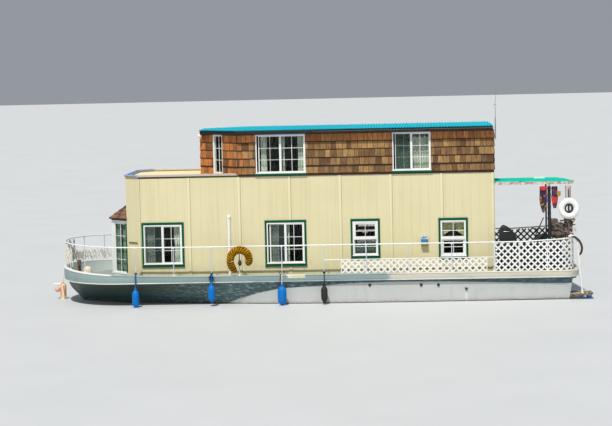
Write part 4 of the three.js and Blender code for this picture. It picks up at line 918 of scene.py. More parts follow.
def window(white, green, glass, screen, row, at, trimmed):
    """A frame with its leaves: two side by side, one over the other, or one alone. Some forward
    leaves stand a little open; a lone leaf has a flange over the shingles."""
    name, kind, _, width, z0, z1 = row
    w = width / 2
    ring = {"lower_3": 0.034, "facet": 0.005}.get(name, 0.027)
    white.ring((-w, w), (-0.03, 0.046), (z0, z1), ring, at)
    white.box((-w - 0.012, w + 0.012), (-0.044, -0.012), (z0 - 0.004, z0 + 0.02), at)
    inner = (-w + ring - 0.004, w - ring + 0.004)
    if kind == "slider":
        start = inner[0] + (0 if name == "lower_1" else 0.042)
        z = (z0 + 0.023, z1 - 0.023)
        stile = 0.036 if name == "lower_2" else 0.022
        glazed(white, glass, at, (start, 0.028), z, 2, 3, stile, 0.01, y=0.022)
        glazed(white, glass, at, (-0.028, inner[1]), z, 2, 3, 0.024, 0.013, y=-0.008)
        if name in SCREENED:
            screen.box((start + stile - 0.012, -0.03), (-0.016, -0.013), (z0 + 0.04, z1 - 0.04), at)
        white.box((-0.031, 0.021), (-0.025, 0.007), z, at)
    elif kind == "sash":
        middle = (z0 + z1) / 2
        high, low = (0.04, 0.02) if name == "lower_3" else (0.018, 0.048)
        glazed(white, glass, at, inner, (middle - 0.02, z1 - 0.03), 2, 2, high, y=-0.008)
        glazed(white, glass, at, inner, (z0 + 0.03, middle - 0.01), 2, 2, low, y=0.022)
        white.box(inner, (-0.026, 0.006), (middle - 0.022, middle + 0.052), at)
    else:
        glazed(white, glass, at, (0.006 - w, w - 0.003), (z0 + 0.02, z1 - 0.02), 2, 3, 0.007, 0.012,
               y=0.014)
        for low, high in ((-w - 0.034, -w + 0.012), (w - 0.005, w + 0.006)):
            white.box((low, high), (-0.031, -0.002), (z0 - 0.03, z1 + 0.018), at)
        for low, high in ((z0 - 0.03, z0 + 0.006), (z1 - 0.012, z1 + 0.018)):
            white.box((-w, w - 0.01), (-0.031, -0.002), (low, high), at)
    if trimmed:
        side, head, sill = 0.05, 0.062, 0.074
        for s in (-1, 1):
            green.box(tuple(sorted((s * w, s * (w + side)))), (-0.026, -0.0005),
                      (z0 - sill, z1 + head), at)
        green.box((-w, w), (-0.026, -0.0005), (z1, z1 + head), at)
        green.box((-w, w), (-0.026, -0.0005), (z0 - sill, z0), at)
        green.box((-w - side - 0.006, w + side + 0.006), (-0.03, -0.0005),
                  (z0 - sill, z0 - sill + 0.026), at)


def build_windows():
    """The windows of both sides, the facets and the aft wall."""
    white, green, glass, screen, pale = batches(5)
    for side, s, turn in SIDES:
        for row in WINDOWS:
            at = place(row[2], s * WALL_Y, 0, turn)
            lower = row[0].startswith("lower")
            window(white, green, glass, screen, row, at, lower)
            if not lower:
                w = row[3] / 2
                green.box((-w - 0.03, w + 0.03), (-0.046, -0.002), (row[4] - 0.052, row[4] - 0.002),
                          at=at)
                # painted shade: a blue strip over the head of each upper window
                pale.box((-w - 0.01, w + 0.01), (-0.036, -0.002), (row[5], row[5] + 0.016), at)
        middle = UPPER_CHAMFER / 2
        at = place(UPPER_FRONT + middle, s * (WALL_Y - middle), 0, -45 if s < 0 else -135)
        window(white, green, glass, screen, FACET_WINDOW, at, False)
    at = place(AFT_X, 0, 0, 90)
    window(white, green, glass, screen, AFT_WINDOW, at, False)
    names = [f"window_{row[0]}_{side}" for side, _, _ in SIDES for row in WINDOWS]
    names += [f"window_facet_{side}" for side, _, _ in SIDES] + ["window_upper_aft"]
    white.piece("window_frames", WHITE, bevel=0.002, replaces=names)
    glass.piece("window_glass", GLASS)
    green.piece("window_trim", GREEN, bevel=0.002, slot="green_paint")
    screen.piece("window_screens", SCREEN_MESH)
    pale.piece("window_head_shade", HEAD_SHADE_BLUE, bevel=0.002)


# Faces of one shingle: points 0 to 3 behind, 4 to 7 in front, each from the lower left round
WEDGE = np.array([(0, 1, 5, 4), (4, 5, 6, 7), (1, 2, 6, 5), (3, 0, 4, 7), (2, 3, 7, 6)])


def shingle_field(batch, corners, rows, gaps=(), width=(0.095, 0.165), butt=0.024, top=0.009,
                  body=0.5):
    """Shingles on a flat four-sided patch. corners run low left, low right, high right, high left
    as seen from outside. Each course is filled from left to right with random widths; each
    shingle is a wedge, thick at its foot, that starts inside the surface. gaps are (from, to)
    lengths along the course kept clear."""
    a, b, c, d = (np.asarray(p, float) for p in corners)
    rise = (d - a) / np.linalg.norm(d - a)
    out = np.cross(b - a, rise)
    out /= np.linalg.norm(out)
    edges = np.linspace(0, 1, rows + 1)
    for low, high in zip(edges[:-1], edges[1:]):
        left, right = a + (d - a) * low, b + (c - b) * low
        left_up, right_up = a + (d - a) * high, b + (c - b) * high
        length = np.linalg.norm(right - left)
        laid, u = [], -RNG.uniform(0, 0.1)
        while u < length:
            w = RNG.uniform(*width)
            tone = np.clip(RNG.normal(body, 0.22), 0, 1)
            drop, thick = RNG.uniform(-0.004, 0.005), RNG.uniform(-0.003, 0.004)
            start, end = max(u + 0.004, 0), min(u + w - 0.004, length)
            u += w
            for g0, g1 in gaps:
                if start < g1 and end > g0:
                    if start < g0:
                        end = min(end, g0)
                    elif end > g1:
                        start = max(start, g1)
                    else:
                        end = start
            if end - start >= 0.012:
                laid.append((start, end, tone, drop, thick))
        start, end, tone, drop, thick = np.array(laid).T[:, :, None, None]
        share = np.concatenate([start, end], 1) / length
        foot = left + (right - left) * share - rise * drop
        head = left_up + (right_up - left_up) * share[:, ::-1]
        points = np.concatenate([foot - out * 0.004, head - out * 0.004,
                                 foot + out * (butt + thick), head + out * (top + thick * 0.4)], 1)
        faces = WEDGE + 8 * np.arange(len(laid))[:, None, None]
        batch.add(points, faces.reshape(-1, 4).tolist(), np.repeat(tone, 8))


def build_shingles():
    """Courses on every upper wall and on the three flats of the bay's roof."""
    field, bay = batches(2)
    top, half = COURSE_Z + COURSES * COURSE_H, WALL_Y - UPPER_CHAMFER
    fore, middle = UPPER_FRONT + UPPER_CHAMFER, UPPER_CHAMFER / math.sqrt(2)

    def cover(p, q, gaps=()):
        corners = [(*p, COURSE_Z), (*q, COURSE_Z), (*q, top), (*p, top)]
        shingle_field(field, corners, COURSES, gaps)

    for _, s, _ in SIDES:
        ends = [(fore, s * WALL_Y), (AFT_X, s * WALL_Y)][::-s]
        gaps = []
        for name, _, x, w, _, _ in WINDOWS:
            if name.startswith("upper"):
                at = abs(x - ends[0][0])
                gaps.append((at - w / 2 + 0.002, at + w / 2 - 0.002))
        cover(*ends, gaps)
        w = FACET_WINDOW[3] / 2
        cover(*[(UPPER_FRONT, s * half), (fore, s * WALL_Y)][::-s], [(middle - w, middle + w)])
    cover((UPPER_FRONT, half), (UPPER_FRONT, -half))
    w = AFT_WINDOW[3] / 2
    cover((AFT_X, -WALL_Y), (AFT_X, WALL_Y), [(WALL_Y - w, WALL_Y + w)])
    field.piece("upper_shingles", CEDAR, bevel=0.0015, slot="shingles")

    low = np.column_stack([bay_outline(0.055), np.full(4, BAY_ROOF_Z)])
    high = np.column_stack([bay_outline(-0.4), np.full(4, BAY_ROOF_TOP)])
    for i, j in ((1, 2), (2, 3), (3, 0)):
        shingle_field(bay, (low[i], low[j], high[j], high[i]), 4, width=(0.08, 0.14), butt=0.016,
                      top=0.006, body=0.55)
    bay.piece("bay_shingles", BAY_CEDAR, bevel=0.001, slot="shingles")


def bay_outline(d):
    """The bay in plan, moved out by d: from the wall to starboard, its front, and back to port."""
    k = d * math.tan(math.pi / 8)
    wall = FRONT_X - 0.0004
    front = FRONT_X - BAY_DEPTH - d
    flat = BAY_HALF - BAY_DEPTH + k
    side = BAY_HALF + d * math.sqrt(2)
    return np.array([(wall, -side), (wall, side), (front, flat), (front, -flat)])


def build_bay():
    """Three glazed flats over a panelled base: wide white posts at the front corners, green boards
    at the house wall, a moulded head, and curtains on rods inside."""
    white, green, glass, dark, rods = batches(5)
    hung = []
    plan = bay_outline(0)
    base, rod_y, rod_z = BAY_Z0 + 0.04, 0.085, 1.905
    for i, leaves in ((1, 1), (2, 2), (3, 1)):
        (x0, y0), (x1, y1) = plan[i], plan[(i + 1) % 4]
        w = math.hypot(x1 - x0, y1 - y0) / 2
        at = place((x0 + x1) / 2, (y0 + y1) / 2, 0, math.degrees(math.atan2(y1 - y0, x1 - x0)))
        white.box((-w, w), (0.004, 0.05), (DECK_Z + 0.0004, BAY_Z0), at)
        white.ring((-w + 0.05, w - 0.05), (-0.008, 0.01), (DECK_Z + 0.02, BAY_Z0 - 0.02), 0.045, at)
        white.box((-w - 0.004, w + 0.004), (-0.02, 0.05), (BAY_Z0, base), at)
        white.box((-w, w), (0, 0.05), (BAY_Z1, BAY_EAVE), at)
        green.box((-w, w), (-0.006, 0.01), (BAY_EAVE - 0.03, BAY_EAVE), at)
        low, high = -w + (0.055 if i == 1 else 0.105), w - (0.055 if i == 3 else 0.105)
        edges = np.linspace(low, high, leaves + 1)
        for span in zip(edges[:-1], edges[1:]):
            glazed(white, glass, at, span, (base, BAY_Z1), 2, 4, 0.024, 0.012, y=0.02)
        for span, wall in (((-w, low), i == 1), ((high, w), i == 3)):
            (green if wall else white).box(span, (-0.01, 0.046), (base, BAY_Z1), at)
        rods.tube(at([(-w + 0.02, rod_y, rod_z), (w - 0.02, rod_y, rod_z)]), 0.007, 8)
        for k, (a, b) in zip("ab", ((0.12, 0.36), (0.52, 0.88))):
            hung.append((f"bay_curtain_{i}{k}", place_on(at, w * (a + b - 1), rod_y), 2 * w * (b - a)))
    rods.piece("bay_curtain_rods", STEEL, smooth=50, slot="stainless")
    for name, at, wide in hung:
        pleated(name, at, wide, BAY_Z0 + 0.05, rod_z, DIM_CLOTH, 4, 0.014,
                gather=0.1)
    low, high = bay_outline(0.06), bay_outline(-0.4)
    dark.grid([np.column_stack([plan, np.full(4, z)]) for plan, z in
               ((low, BAY_EAVE + 0.0004), (low, BAY_ROOF_Z), (high, BAY_ROOF_TOP))],
              wrap=True, caps=True)
    white.piece("bay_frames", WHITE, bevel=0.002, replaces=["bay_window"])
    green.piece("bay_posts", GREEN, bevel=0.002, slot="green_paint")
    glass.piece("bay_glass", GLASS)
    dark.piece("bay_roof_boards", LAP, slot="shingles", replaces=["bay_roof"])


def build_roof():
    """The corrugated sheet: height is a sine along X, carried across the boat to an edge that
    follows the 45 degree front corners; a broken drip strip and a lamp under the eave."""
    fore, half = UPPER_FRONT - 0.02, WALL_Y + 0.2
    xs = np.linspace(fore, AFT_X, 8 * int(round((AFT_X - fore) / WAVE_PITCH)) + 1)[:, None]
    reach = np.minimum(half, half - UPPER_CHAMFER + (xs - fore))
    wave = WAVE_BASE + WAVE_RISE / 2 * (1 - np.cos(2 * np.pi * (xs - fore) / WAVE_PITCH))
    share = np.linspace(-1, 1, 15)
    upper = spread(xs, reach * share, wave + WAVE_T + 0.0012 * np.sin(9 * np.pi * share))
    sheet = Batch()
    sheet.grid(np.concatenate([upper, upper[:, ::-1] - (0, 0, WAVE_T)], 1), wrap=True, caps=True)
    sheet.piece("corrugated_roof", ROOF, smooth=60, slot="roof_sheet", replaces=["roof_sheet"])

    strip, lamp, screws = batches(3)
    for s in (-1, 1):
        y = sorted((s * (half - 0.0195), s * (half - 0.016)))
        strip.box((0, AFT_X - 0.01), y, (4.104, 4.111))
        for x in np.arange(fore + UPPER_CHAMFER, 0, WAVE_PITCH):
            strip.box((x, x + 0.028), y, (4.116, 4.127))
    strip.piece("drip_strips", GREYED)
    lamp.revolve([(0.002, -0.062), (0.03, -0.055), (0.055, -0.03), (0.062, 0), (0.055, 0.03),
                  (0.03, 0.052), (0.026, 0.06)], (-2.815, -0.55, 4.015), 20)
    lamp.piece("eave_lamp", LAMP, smooth=60)
    for x in np.arange(fore + 0.5 * WAVE_PITCH, AFT_X, WAVE_PITCH * 4):
        y = min(half, half - UPPER_CHAMFER + (x - fore)) - 0.06
        for v in (-y, 0, y):
            screws.revolve([(0.013, 0), (0.013, 0.003), (0.007, 0.006), (0.007, 0.01)],
                           (x, v, WAVE_BASE + WAVE_RISE + WAVE_T - 0.001), 8)
    screws.piece("roof_screws", STEEL, smooth=40, slot="stainless")


POSTS = (-4.303, -3.388, -2.48, -1.812, -0.798, 0.205, 1.217, 2.215, 3.242, 4.231)
RAIL_OUT = RAIL_Y - DECK_B
STERN_STRAIGHT = STERN_X - STERN_R - RAIL_INSET - RAIL_END
STERN_BEND = STERN_R + RAIL_OUT
STERN_ARC = math.pi / 2 * STERN_BEND
STERN_LENGTH = STERN_STRAIGHT + STERN_ARC + 0.19


def stern_line(s, d=0):
    """The rail's line abaft the side posts at length s and offset d, on the port side: straight,
    then round the stern corner, then in along the transom."""
    turn = np.clip((s - STERN_STRAIGHT) / STERN_BEND, 0, np.pi / 2)
    x = RAIL_END + np.minimum(s, STERN_STRAIGHT) + (STERN_BEND + d) * np.sin(turn)
    inward = np.maximum(s - STERN_STRAIGHT - STERN_ARC, 0)
    return x, STERN_R - DECK_B - (STERN_BEND + d) * np.cos(turn) + inward


def slats(batch, surface, length, bottom, top, width=0.038, thick=0.011, start=0):
    """Two layers of crossed slats at 45 degrees over a panel. surface(s, z, d) gives the points at
    lengths s, heights z and offset d. Each slat is cut where it meets the panel's edges."""
    across = width / 2 * math.sqrt(0.5)
    climb = np.linspace(0, 1.2, 60)
    for slope, d in ((1, 0), (-1, thick)):
        for c in np.arange(-2, length + 2, LATTICE_PITCH):
            s, z = c + slope * climb, bottom + climb
            inside = np.flatnonzero((s >= start) & (s <= length) & (z <= top(s)))
            if len(inside) < 2:
                continue
            kept = np.append(inside[:-1:4], inside[-1])
            s, z = s[kept], z[kept]
            one, other = (s - slope * across, z + across), (s + slope * across, z - across)
            rows = [surface(*one, d), surface(*other, d), surface(*other, d + thick),
                    surface(*one, d + thick)]
            batch.grid(np.stack(rows, 1), wrap=True, caps=True, tone=RNG.uniform(0.3, 0.7))


def bow_line(b):
    """The bow rail's plan at angle b, from starboard (0) round the stem to port (pi)."""
    return BOW_START - (BOW_LENGTH + RAIL_OUT) * np.sin(b), RAIL_Y * np.cos(b)


def build_rails():
    """Tube rails on posts with round feet and collars, a low lattice and its strip in each side,
    and a net at the bow: strands that zigzag at random between the band and the rail."""
    rails, feet, low, net, posts = batches(5)
    x, y = stern_line(np.linspace(0.02, STERN_LENGTH, 60))
    plan = np.concatenate([spread(*bow_line(np.linspace(np.pi / 2, 0, 60))),
                           spread(np.linspace(BOW_START, 4.25, 60)[1:], RAIL_Y), spread(x, -y)])
    end = stern_line(STERN_LENGTH)
    spots = []
    for s in (-1, 1):
        rails.tube(spread(plan[:, 0], s * plan[:, 1], rail_top(plan[:, 0])), RAIL_R, 12)
        spots += [(x, s * RAIL_Y, band_top(x)) for x in POSTS] + [(end[0], -s * end[1], DECK_Z)]

        def surface(t, z, d, side=s):
            return spread(t, side * (RAIL_Y - 0.011 + d), z)
        slats(low, surface, 4.075, BAND_Z + 0.012, lambda t: LOW_TOP, 0.036, 0.01, start=0.61)
        y = sorted((s * (RAIL_Y - 0.012), s * (RAIL_Y + 0.012)))
        for x in (0.61, 1.75, 2.9, 4.057):
            low.box((x, x + 0.018), y, (BAND_Z + 0.006, LOW_TOP))
        rails.tube([(POSTS[5], s * RAIL_Y, 1.05), (POSTS[9], s * RAIL_Y, 1.05)], 0.011, 10)
    for x, y, z in spots:
        rails.revolve([(0.017, -0.03), (0.019, -0.027), (0.019, -0.004), (0.015, 0.004)],
                      (x, y, rail_top(x) - 0.006), 14)
    bow = spread(*bow_line(np.array([3, 5, 8, 11, 13]) / 16 * np.pi))
    for x, y, z in spots + [(x, y, band_top(x)) for x, y in bow]:
        posts.tube([(x, y, z + 0.002), (x, y, rail_top(x))], POST_R, 12)
        feet.revolve([(0.03, 0), (0.03, 0.005), (0.018, 0.01), (0.017, 0.026)],
                     (x, y, z + 0.003), 16)
    # Strands of the net: how many, first angle, step between them, last angle, height at the ends,
    # shares of it high and low, foot, step along, radius
    for count, first, gap, last, ends, high, low_share, foot, step, radius in (
            (5, 0.1, 0.02, 2.02, 0.3, (0.75, 1), (0.03, 0.25), 0.012, (0.025, 0.075), 0.011),
            (6, 1.18, 0.05, 2.25, 0.6, (0.62, 0.98), (0, 0.42), 0.016, (0.03, 0.13), 0.01)):
        for strand in range(count):
            knots, b = [], first + gap * strand
            while b < last:
                up = (strand + len(knots)) % 2
                knots.append((b, RNG.uniform(*(high if up else low_share))))
                b += RNG.uniform(*step)
            b, share = np.array(knots).T
            x, y = bow_line(b)
            tall = ends + (0.6 - ends) * np.clip((b - 1.15) / 0.35, 0, 1)
            net.tube(spread(x, y, band_top(x) + foot + tall * share), radius, 6)
    rails.piece("guard_rails", RAIL_WHITE, smooth=40,
                replaces=["rail_port", "rail_starboard", "rail_bow"])
    # posts in painted bluish shade
    posts.piece("rail_posts", SHADED_POST_WHITE, smooth=40)
    feet.piece("rail_feet", RAIL_WHITE, smooth=40)
    low.piece("low_lattice", WHITE)
    net.piece("bow_net", ROPE)


def build_stern_lattice():
    """Crossed slats between four upright strips, painted dark to starboard as shade; inside the port
    ones a dark sheet of painted shade is stretched as far as the stern corner."""
    def top(t):
        return rail_top(stern_line(t)[0]) - 0.02

    # the starboard slats take the painted shade
    for s, name, finish in ((-1, "port", WHITE), (1, "starboard", SHADED_LATTICE)):
        panel = Batch()

        def surface(t, z, d, side=s):
            x, y = stern_line(t, d - 0.011)
            return spread(x, -side * y, z)
        slats(panel, surface, STERN_LENGTH - 0.02, BAND_Z + 0.006, top, start=0.02)
        for t in (0.004, 0.575, 1.24, STERN_LENGTH - 0.026):
            across = t + np.array([0, 0.02, 0.02, 0])
            offset = np.array([-0.003, -0.003, 0.025, 0.025])
            panel.grid([surface(across, z, offset) for z in (BAND_Z + 0.004, top(t))],
                       wrap=True, caps=True)
        panel.piece(f"stern_slats_{name}", finish, slot="white_paint" if s < 0 else "dark_paint",
                    replaces=[f"stern_lattice_{name}"])
    # painted shade: a dark sheet behind the port slats, where there is only shade
    x, y = stern_line(np.linspace(0.03, STERN_STRAIGHT + 0.09, 90)[:, None], -0.017)
    z0, z1 = BAND_Z + 0.02, rail_top(x) - 0.05
    dark = Batch()
    dark.grid(spread(x, y, z0 + (z1 - z0) * np.linspace(0, 1, 10)))
    cloth = dark.piece("shade_sheet", SHADE_CLOTH, smooth=80, slot="dark_paint")


def canopy_top(y):
    """Top of the canopy frame at y: a line that falls from port to starboard."""
    return CANOPY_Z - CANOPY_DROP * (y + CANOPY_Y) / (2 * CANOPY_Y)


def build_canopy():
    """A stretched sheet that rises between the side beams and dips between the cross beams, with a
    turned-down valance along its edges; its aft starboard corner is cut back. Cord ties loop round
    the near beam and a pale roll lies on top."""
    over = 0.02
    u, v = np.linspace(0, 1, 42)[:, None], np.linspace(-1, 1, 50)
    aft = CANOPY_AFT + over - (CANOPY_AFT - CANOPY_CUT) * (v + 1) / 2
    y = (CANOPY_Y + over) * v
    crown = 0.03 * np.cos(v * np.pi / 2)
    dip = 0.012 * np.sin(3 * np.pi * u) ** 2 * (1 - v * v)
    ripple = 0.003 * np.sin(23 * u + 9 * v) * (1 - np.abs(v))
    lift = 0.016 * (1 - u) * np.maximum(0, -v)
    rows = spread(CANOPY_FORE + (aft - CANOPY_FORE) * u, y,
                  canopy_top(y) + 0.008 + crown - dip + ripple + lift)
    cloth = Batch()
    cloth.grid(rows)
    borders = [rows[:, 0], rows[-1], rows[::-1, -1], rows[0, ::-1]]
    edge = np.concatenate([b[:-1] for b in borders])
    hang = 0.008 + 0.002 * np.sin(np.arange(len(edge)) * 0.9)
    down, mid = edge.copy(), edge.copy()
    down[:, 2] -= hang
    mid[:, 2] -= hang * 0.5
    mid[:, :2] += 0.004 * np.sign(mid[:, :2] - (5.2, 0))
    cloth.grid([edge, mid, down], wrap=True)
    sheet = cloth.piece("canopy_cloth", CANOPY, smooth=70, slot="canopy_cloth", replaces=["canopy"])

    ties, roll = batches(2)
    for x in np.linspace(CANOPY_FORE + 0.1, CANOPY_AFT - 0.1, 9):
        ties.tube(ellipse((x, -CANOPY_Y, canopy_top(-CANOPY_Y) - 0.026), (0.02, 0, 0.042),
                          (0, 0.032, 0), around(14)), 0.003, 6, closed=True)
    ties.piece("canopy_ties", ROPE)
    roll.box((5.31, 5.58), (-0.24, -0.13), (2.789, 2.832))
    roll.piece("canopy_roll", WHITE, bevel=0.008)


def pleated(name, at, width, z0, z1, finish, pleats, depth, y=0, gather=0, slot="curtain_cloth",
            replaces=(), flare=0.25, slant=0, taper=0):
    """A hanging curtain: depth times a sine across gives the pleats, deeper towards the foot.
    gather narrows it at a tie, taper narrows its foot and slant raises the foot along its width."""
    u, v = np.linspace(0, 1, 16 * pleats), np.linspace(0, 1, 22)[:, None]
    phase = RNG.uniform(0, 6)
    squeeze = (1 - taper * v ** 4) * (1 - gather * np.exp(-((v - 0.55) / 0.22) ** 2))
    swing = 2 * np.pi * pleats * u + phase
    wave = depth * (1 - flare + flare * v) * np.sin(swing + 0.5 * np.sin(5 * u + 3 * v))
    wave += 0.25 * depth * np.sin(4.7 * np.pi * pleats * u + 2 * v)
    drop = (z0 + slant * u - z1) * v + 0.006 * np.sin(swing) * v
    rows = spread((u - 0.5) * width * squeeze, y + wave, z1 + drop)
    batch = Batch()
    batch.grid(rows, at=at)
    obj = batch.piece(name, finish, smooth=80, slot=slot, replaces=replaces)


def build_curtains():
    """Rods on brackets with the leaves that hang from them, each from one share of its window's
    width to another; a parted valance and a short half curtain in the two small windows."""
    rods = Batch()
    for _, s, _ in SIDES:
        for fore, aft, z, r, sides, bracket in RODS:
            rods.tube([(fore, s * ROD_Y, z), (aft, s * ROD_Y, z)], r, sides)
            for x in (fore, aft):
                rods.tube([(x, s * ROD_Y, z), (x, s * (WALL_Y - WALL_T - 0.001), z)], bracket, 8)
    rods.piece("curtain_rods", STEEL, smooth=50, slot="stainless",
               replaces=[f"curtains_{level}_{side}" for level in ("lower", "upper")
                         for side, _, _ in SIDES])
    for side, s, turn in SIDES:
        for name, _, x, w, sill, _ in WINDOWS:
            leaves = CLOSED if s > 0 and name != "lower_3" else LEAVES[name]
            for k, (a, b, finish, pleats, foot, slant) in enumerate(leaves):
                centre = place(x - s * w * ((a + b) / 2 - 0.5), s * ROD_Y, 0, turn)
                top = RODS[2 if finish is CAFE else name.startswith("upper")][2]
                pleated(f"curtain_{name}_{side}_{'abc'[k]}", centre, w * (b - a), sill + foot, top,
                        finish, pleats, 0.014,
                        gather=0.15 if finish is CURTAIN and s < 0 else 0, slant=slant)


def ball(r, reach, count):
    """The profile of a ball of radius r, as a half circle between the angles -reach and reach."""
    t = np.linspace(-reach, reach, count)
    return r * spread(np.cos(t), np.sin(t))


def build_charm():
    """Two small pale balls on a thread from the rod behind the third lower window."""
    charm = Batch()
    charm.tube([(1.18, -ROD_Y, 1.95), (1.18, -ROD_Y, 1.655)], 0.003, 6)
    for dx, z, r in ((-0.028, 1.665, 0.04), (0.045, 1.648, 0.034)):
        charm.revolve(ball(r, 1.5, 12), (1.18 + dx, -ROD_Y, z), 16)
    charm.piece("window_charm", PINK, smooth=60)


def build_hung_cloth():
    """Strips of bunting on the fore post and under the beam, narrowing to a point, and a dark
    sleeve round the post between them."""
    x, y = CANOPY_POST, -CANOPY_Y - 0.023
    # Finish, place along, width, foot, top, place outboard, taper
    strips = ((MOTLEY, -0.14, 0.17, 2.07, 2.69, -0.03, 0.75),
              (MOTLEY, 0.124, 0.14, 2.17, 2.69, -0.034, 0.55),
              (FLAG_RED, -0.138, 0.13, 2.6, 2.7, -0.05, 0.2),
              (FLAG_RED, 0.118, 0.115, 2.285, 2.44, -0.052, 0.2),
              (FLAG_GOLD, 0.225, 0.085, 2.45, 2.575, -0.05, 0.3))
    for i, (finish, dx, width, z0, z1, dy, taper) in enumerate(strips):
        pleated(f"hung_cloth_{'abcde'[i]}", place(x + dx, y), width, z0, z1, finish, 3, 0.014, y=dy,
                gather=-0.15, slot="hung_cloth",
                replaces=["hung_cloth"] if i == 0 else (), flare=0.7, taper=taper)
    tie, sleeve = batches(2)
    for z in (2.655, 2.64):
        half_turn = np.linspace(0, np.pi, 24)
        tie.tube(ellipse((x, y + 0.001, z), (0.115, 0, 0), (0, -0.052, 0), half_turn), 0.004, 8)
    for low in 1.42 + SLEEVE_PITCH * np.arange(9):
        heights = low + np.array([0.002, SLEEVE_PITCH / 2, SLEEVE_PITCH - 0.002])
        sleeve.tube(spread(x, -CANOPY_Y, heights), (0.038, 0.043, 0.038), 16)
    tie.piece("cloth_tie", INK, slot="dark_paint")
    sleeve.piece("post_sleeve", INK, smooth=50, slot="dark_paint")


def build_ring():
    """The life ring, a torus pressed flat, with its grab line, a dark coil inside and hangers."""
    ring, rope, coil, hangers = batches(4)
    tube_r, mid, pressed = 0.068, 0.178, 0.05
    x, y, z = centre = (6.025, -CANOPY_Y - 0.02 - pressed - 0.0004, 2.164)
    ring.tube(ellipse(centre, (mid, 0, 0), (0, 0, mid), around(72)), tube_r, 24, closed=True,
              at=lambda points: centre + (points - centre) * (1, pressed / tube_r, 1))
    ring.piece("life_ring_body", RING, smooth=60, slot="ring_white", replaces=["life_ring"])
    t = around(96)
    r = mid + tube_r + 0.004 + 0.012 * np.sin(2 * t) ** 2
    rope.tube(spread(x + r * np.cos(t), y, z + r * np.sin(t)), 0.004, 8, closed=True)
    rope.piece("ring_grab_line", ROPE, smooth=60, slot="ring_white")
    for k in range(7):
        r, cx = 0.072 + 0.008 * (k % 4), x + RNG.uniform(-0.014, 0.014)
        cz, lean = z + RNG.uniform(-0.02, 0.01), RNG.uniform(-0.2, 0.2)
        coil.tube(ellipse((cx, y + 0.03 - 0.008 * k, cz), (r, 0, 0), (0, lean * 0.05, 1.15 * r),
                          around(28)), 0.0075, 8, closed=True)
    coil.tube([(x, y + 0.01, z + 0.055), (x + 0.008, y + 0.005, z - 0.1)], 0.012, 8)
    coil.piece("rope_coil", INK, smooth=60, slot="dark_paint")
    for span in ((5.948, 5.972), (6.052, 6.074)):
        hangers.box(span, (-CANOPY_Y - 0.03, -CANOPY_Y - 0.024), (2.35, 2.7))
    hangers.piece("ring_hangers", MAUVE, slot="ring_white")


def build_platform():
    """The planked step at the port corner on two floats, the bent pole beside it and half a hoop."""
    planks, floats, straps, rail, hoop = batches(5)
    edges = np.linspace(6.03, 6.575, 7)
    for x0, x1 in zip(edges[:-1], edges[1:]):
        planks.box((x0 + 0.003, x1 - 0.003), (-1.74 + RNG.uniform(0, 0.006), -1.28), (0.122, 0.15))
    planks.box((6.028, 6.5), (-1.54, -1.48), (0.062, 0.122))
    planks.box((6.028, 6.55), (-1.69, -1.63), (0.085, 0.122))
    for x, r, z in ((6.3, 0.034, 0.072), (6.49, 0.05, 0.056)):
        floats.revolve([(0.004, -0.118), (r * 0.7, -0.116), (r, -0.1), (r, 0.1), (r * 0.7, 0.116),
                        (0.004, 0.118)], (x, -1.56, z), 20, axis="Y")
        straps.tube(ellipse((x, -1.51, z), (r + 0.003, 0, 0), (0, 0, r + 0.003), around(20)),
                    0.004, 6, closed=True)
    planks.piece("platform_planks", PLANK, bevel=0.003, slot="fascia_timber",
                 replaces=["swim_platform"])
    floats.piece("platform_floats", FENDER, smooth=40, slot="fender_blue")
    straps.piece("float_straps", RUBBER, smooth=60, slot="fender_dark")

    x, y = stern_line(STERN_STRAIGHT + STERN_ARC * 0.45)
    z = rail_top(x)
    bends = [(x, y, z + RAIL_R + 0.017), (x + 0.07, y + 0.01, z + 0.058), (6.18, -1.69, 1.445),
             (6.215, -1.675, 1.3), (6.27, -1.66, 0.7), (6.3, -1.645, 0.4),
             (6.322, -1.64, 0.151)]
    rail.tube(through(bends, 60), 0.024, 14)
    rail.revolve([(0.04, 0), (0.04, 0.006), (0.024, 0.012), (0.022, 0.03)], (6.322, -1.64, 0.1505),
                 18)
    rail.piece("stern_pole", RAIL_WHITE, smooth=60, slot="stainless", replaces=["stern_handrail"])
    arc = [(6.085, -1.7, 1.5), (6.16, -1.715, 1.475), (6.26, -1.71, 1.38), (6.315, -1.7, 1.25),
           (6.305, -1.69, 1.13), (6.27, -1.68, 1.06)]
    hoop.tube(through(arc, 30), 0.026, 12)
    hoop.piece("half_hoop", HOOP_BROWN, smooth=60, slot="dark_paint")


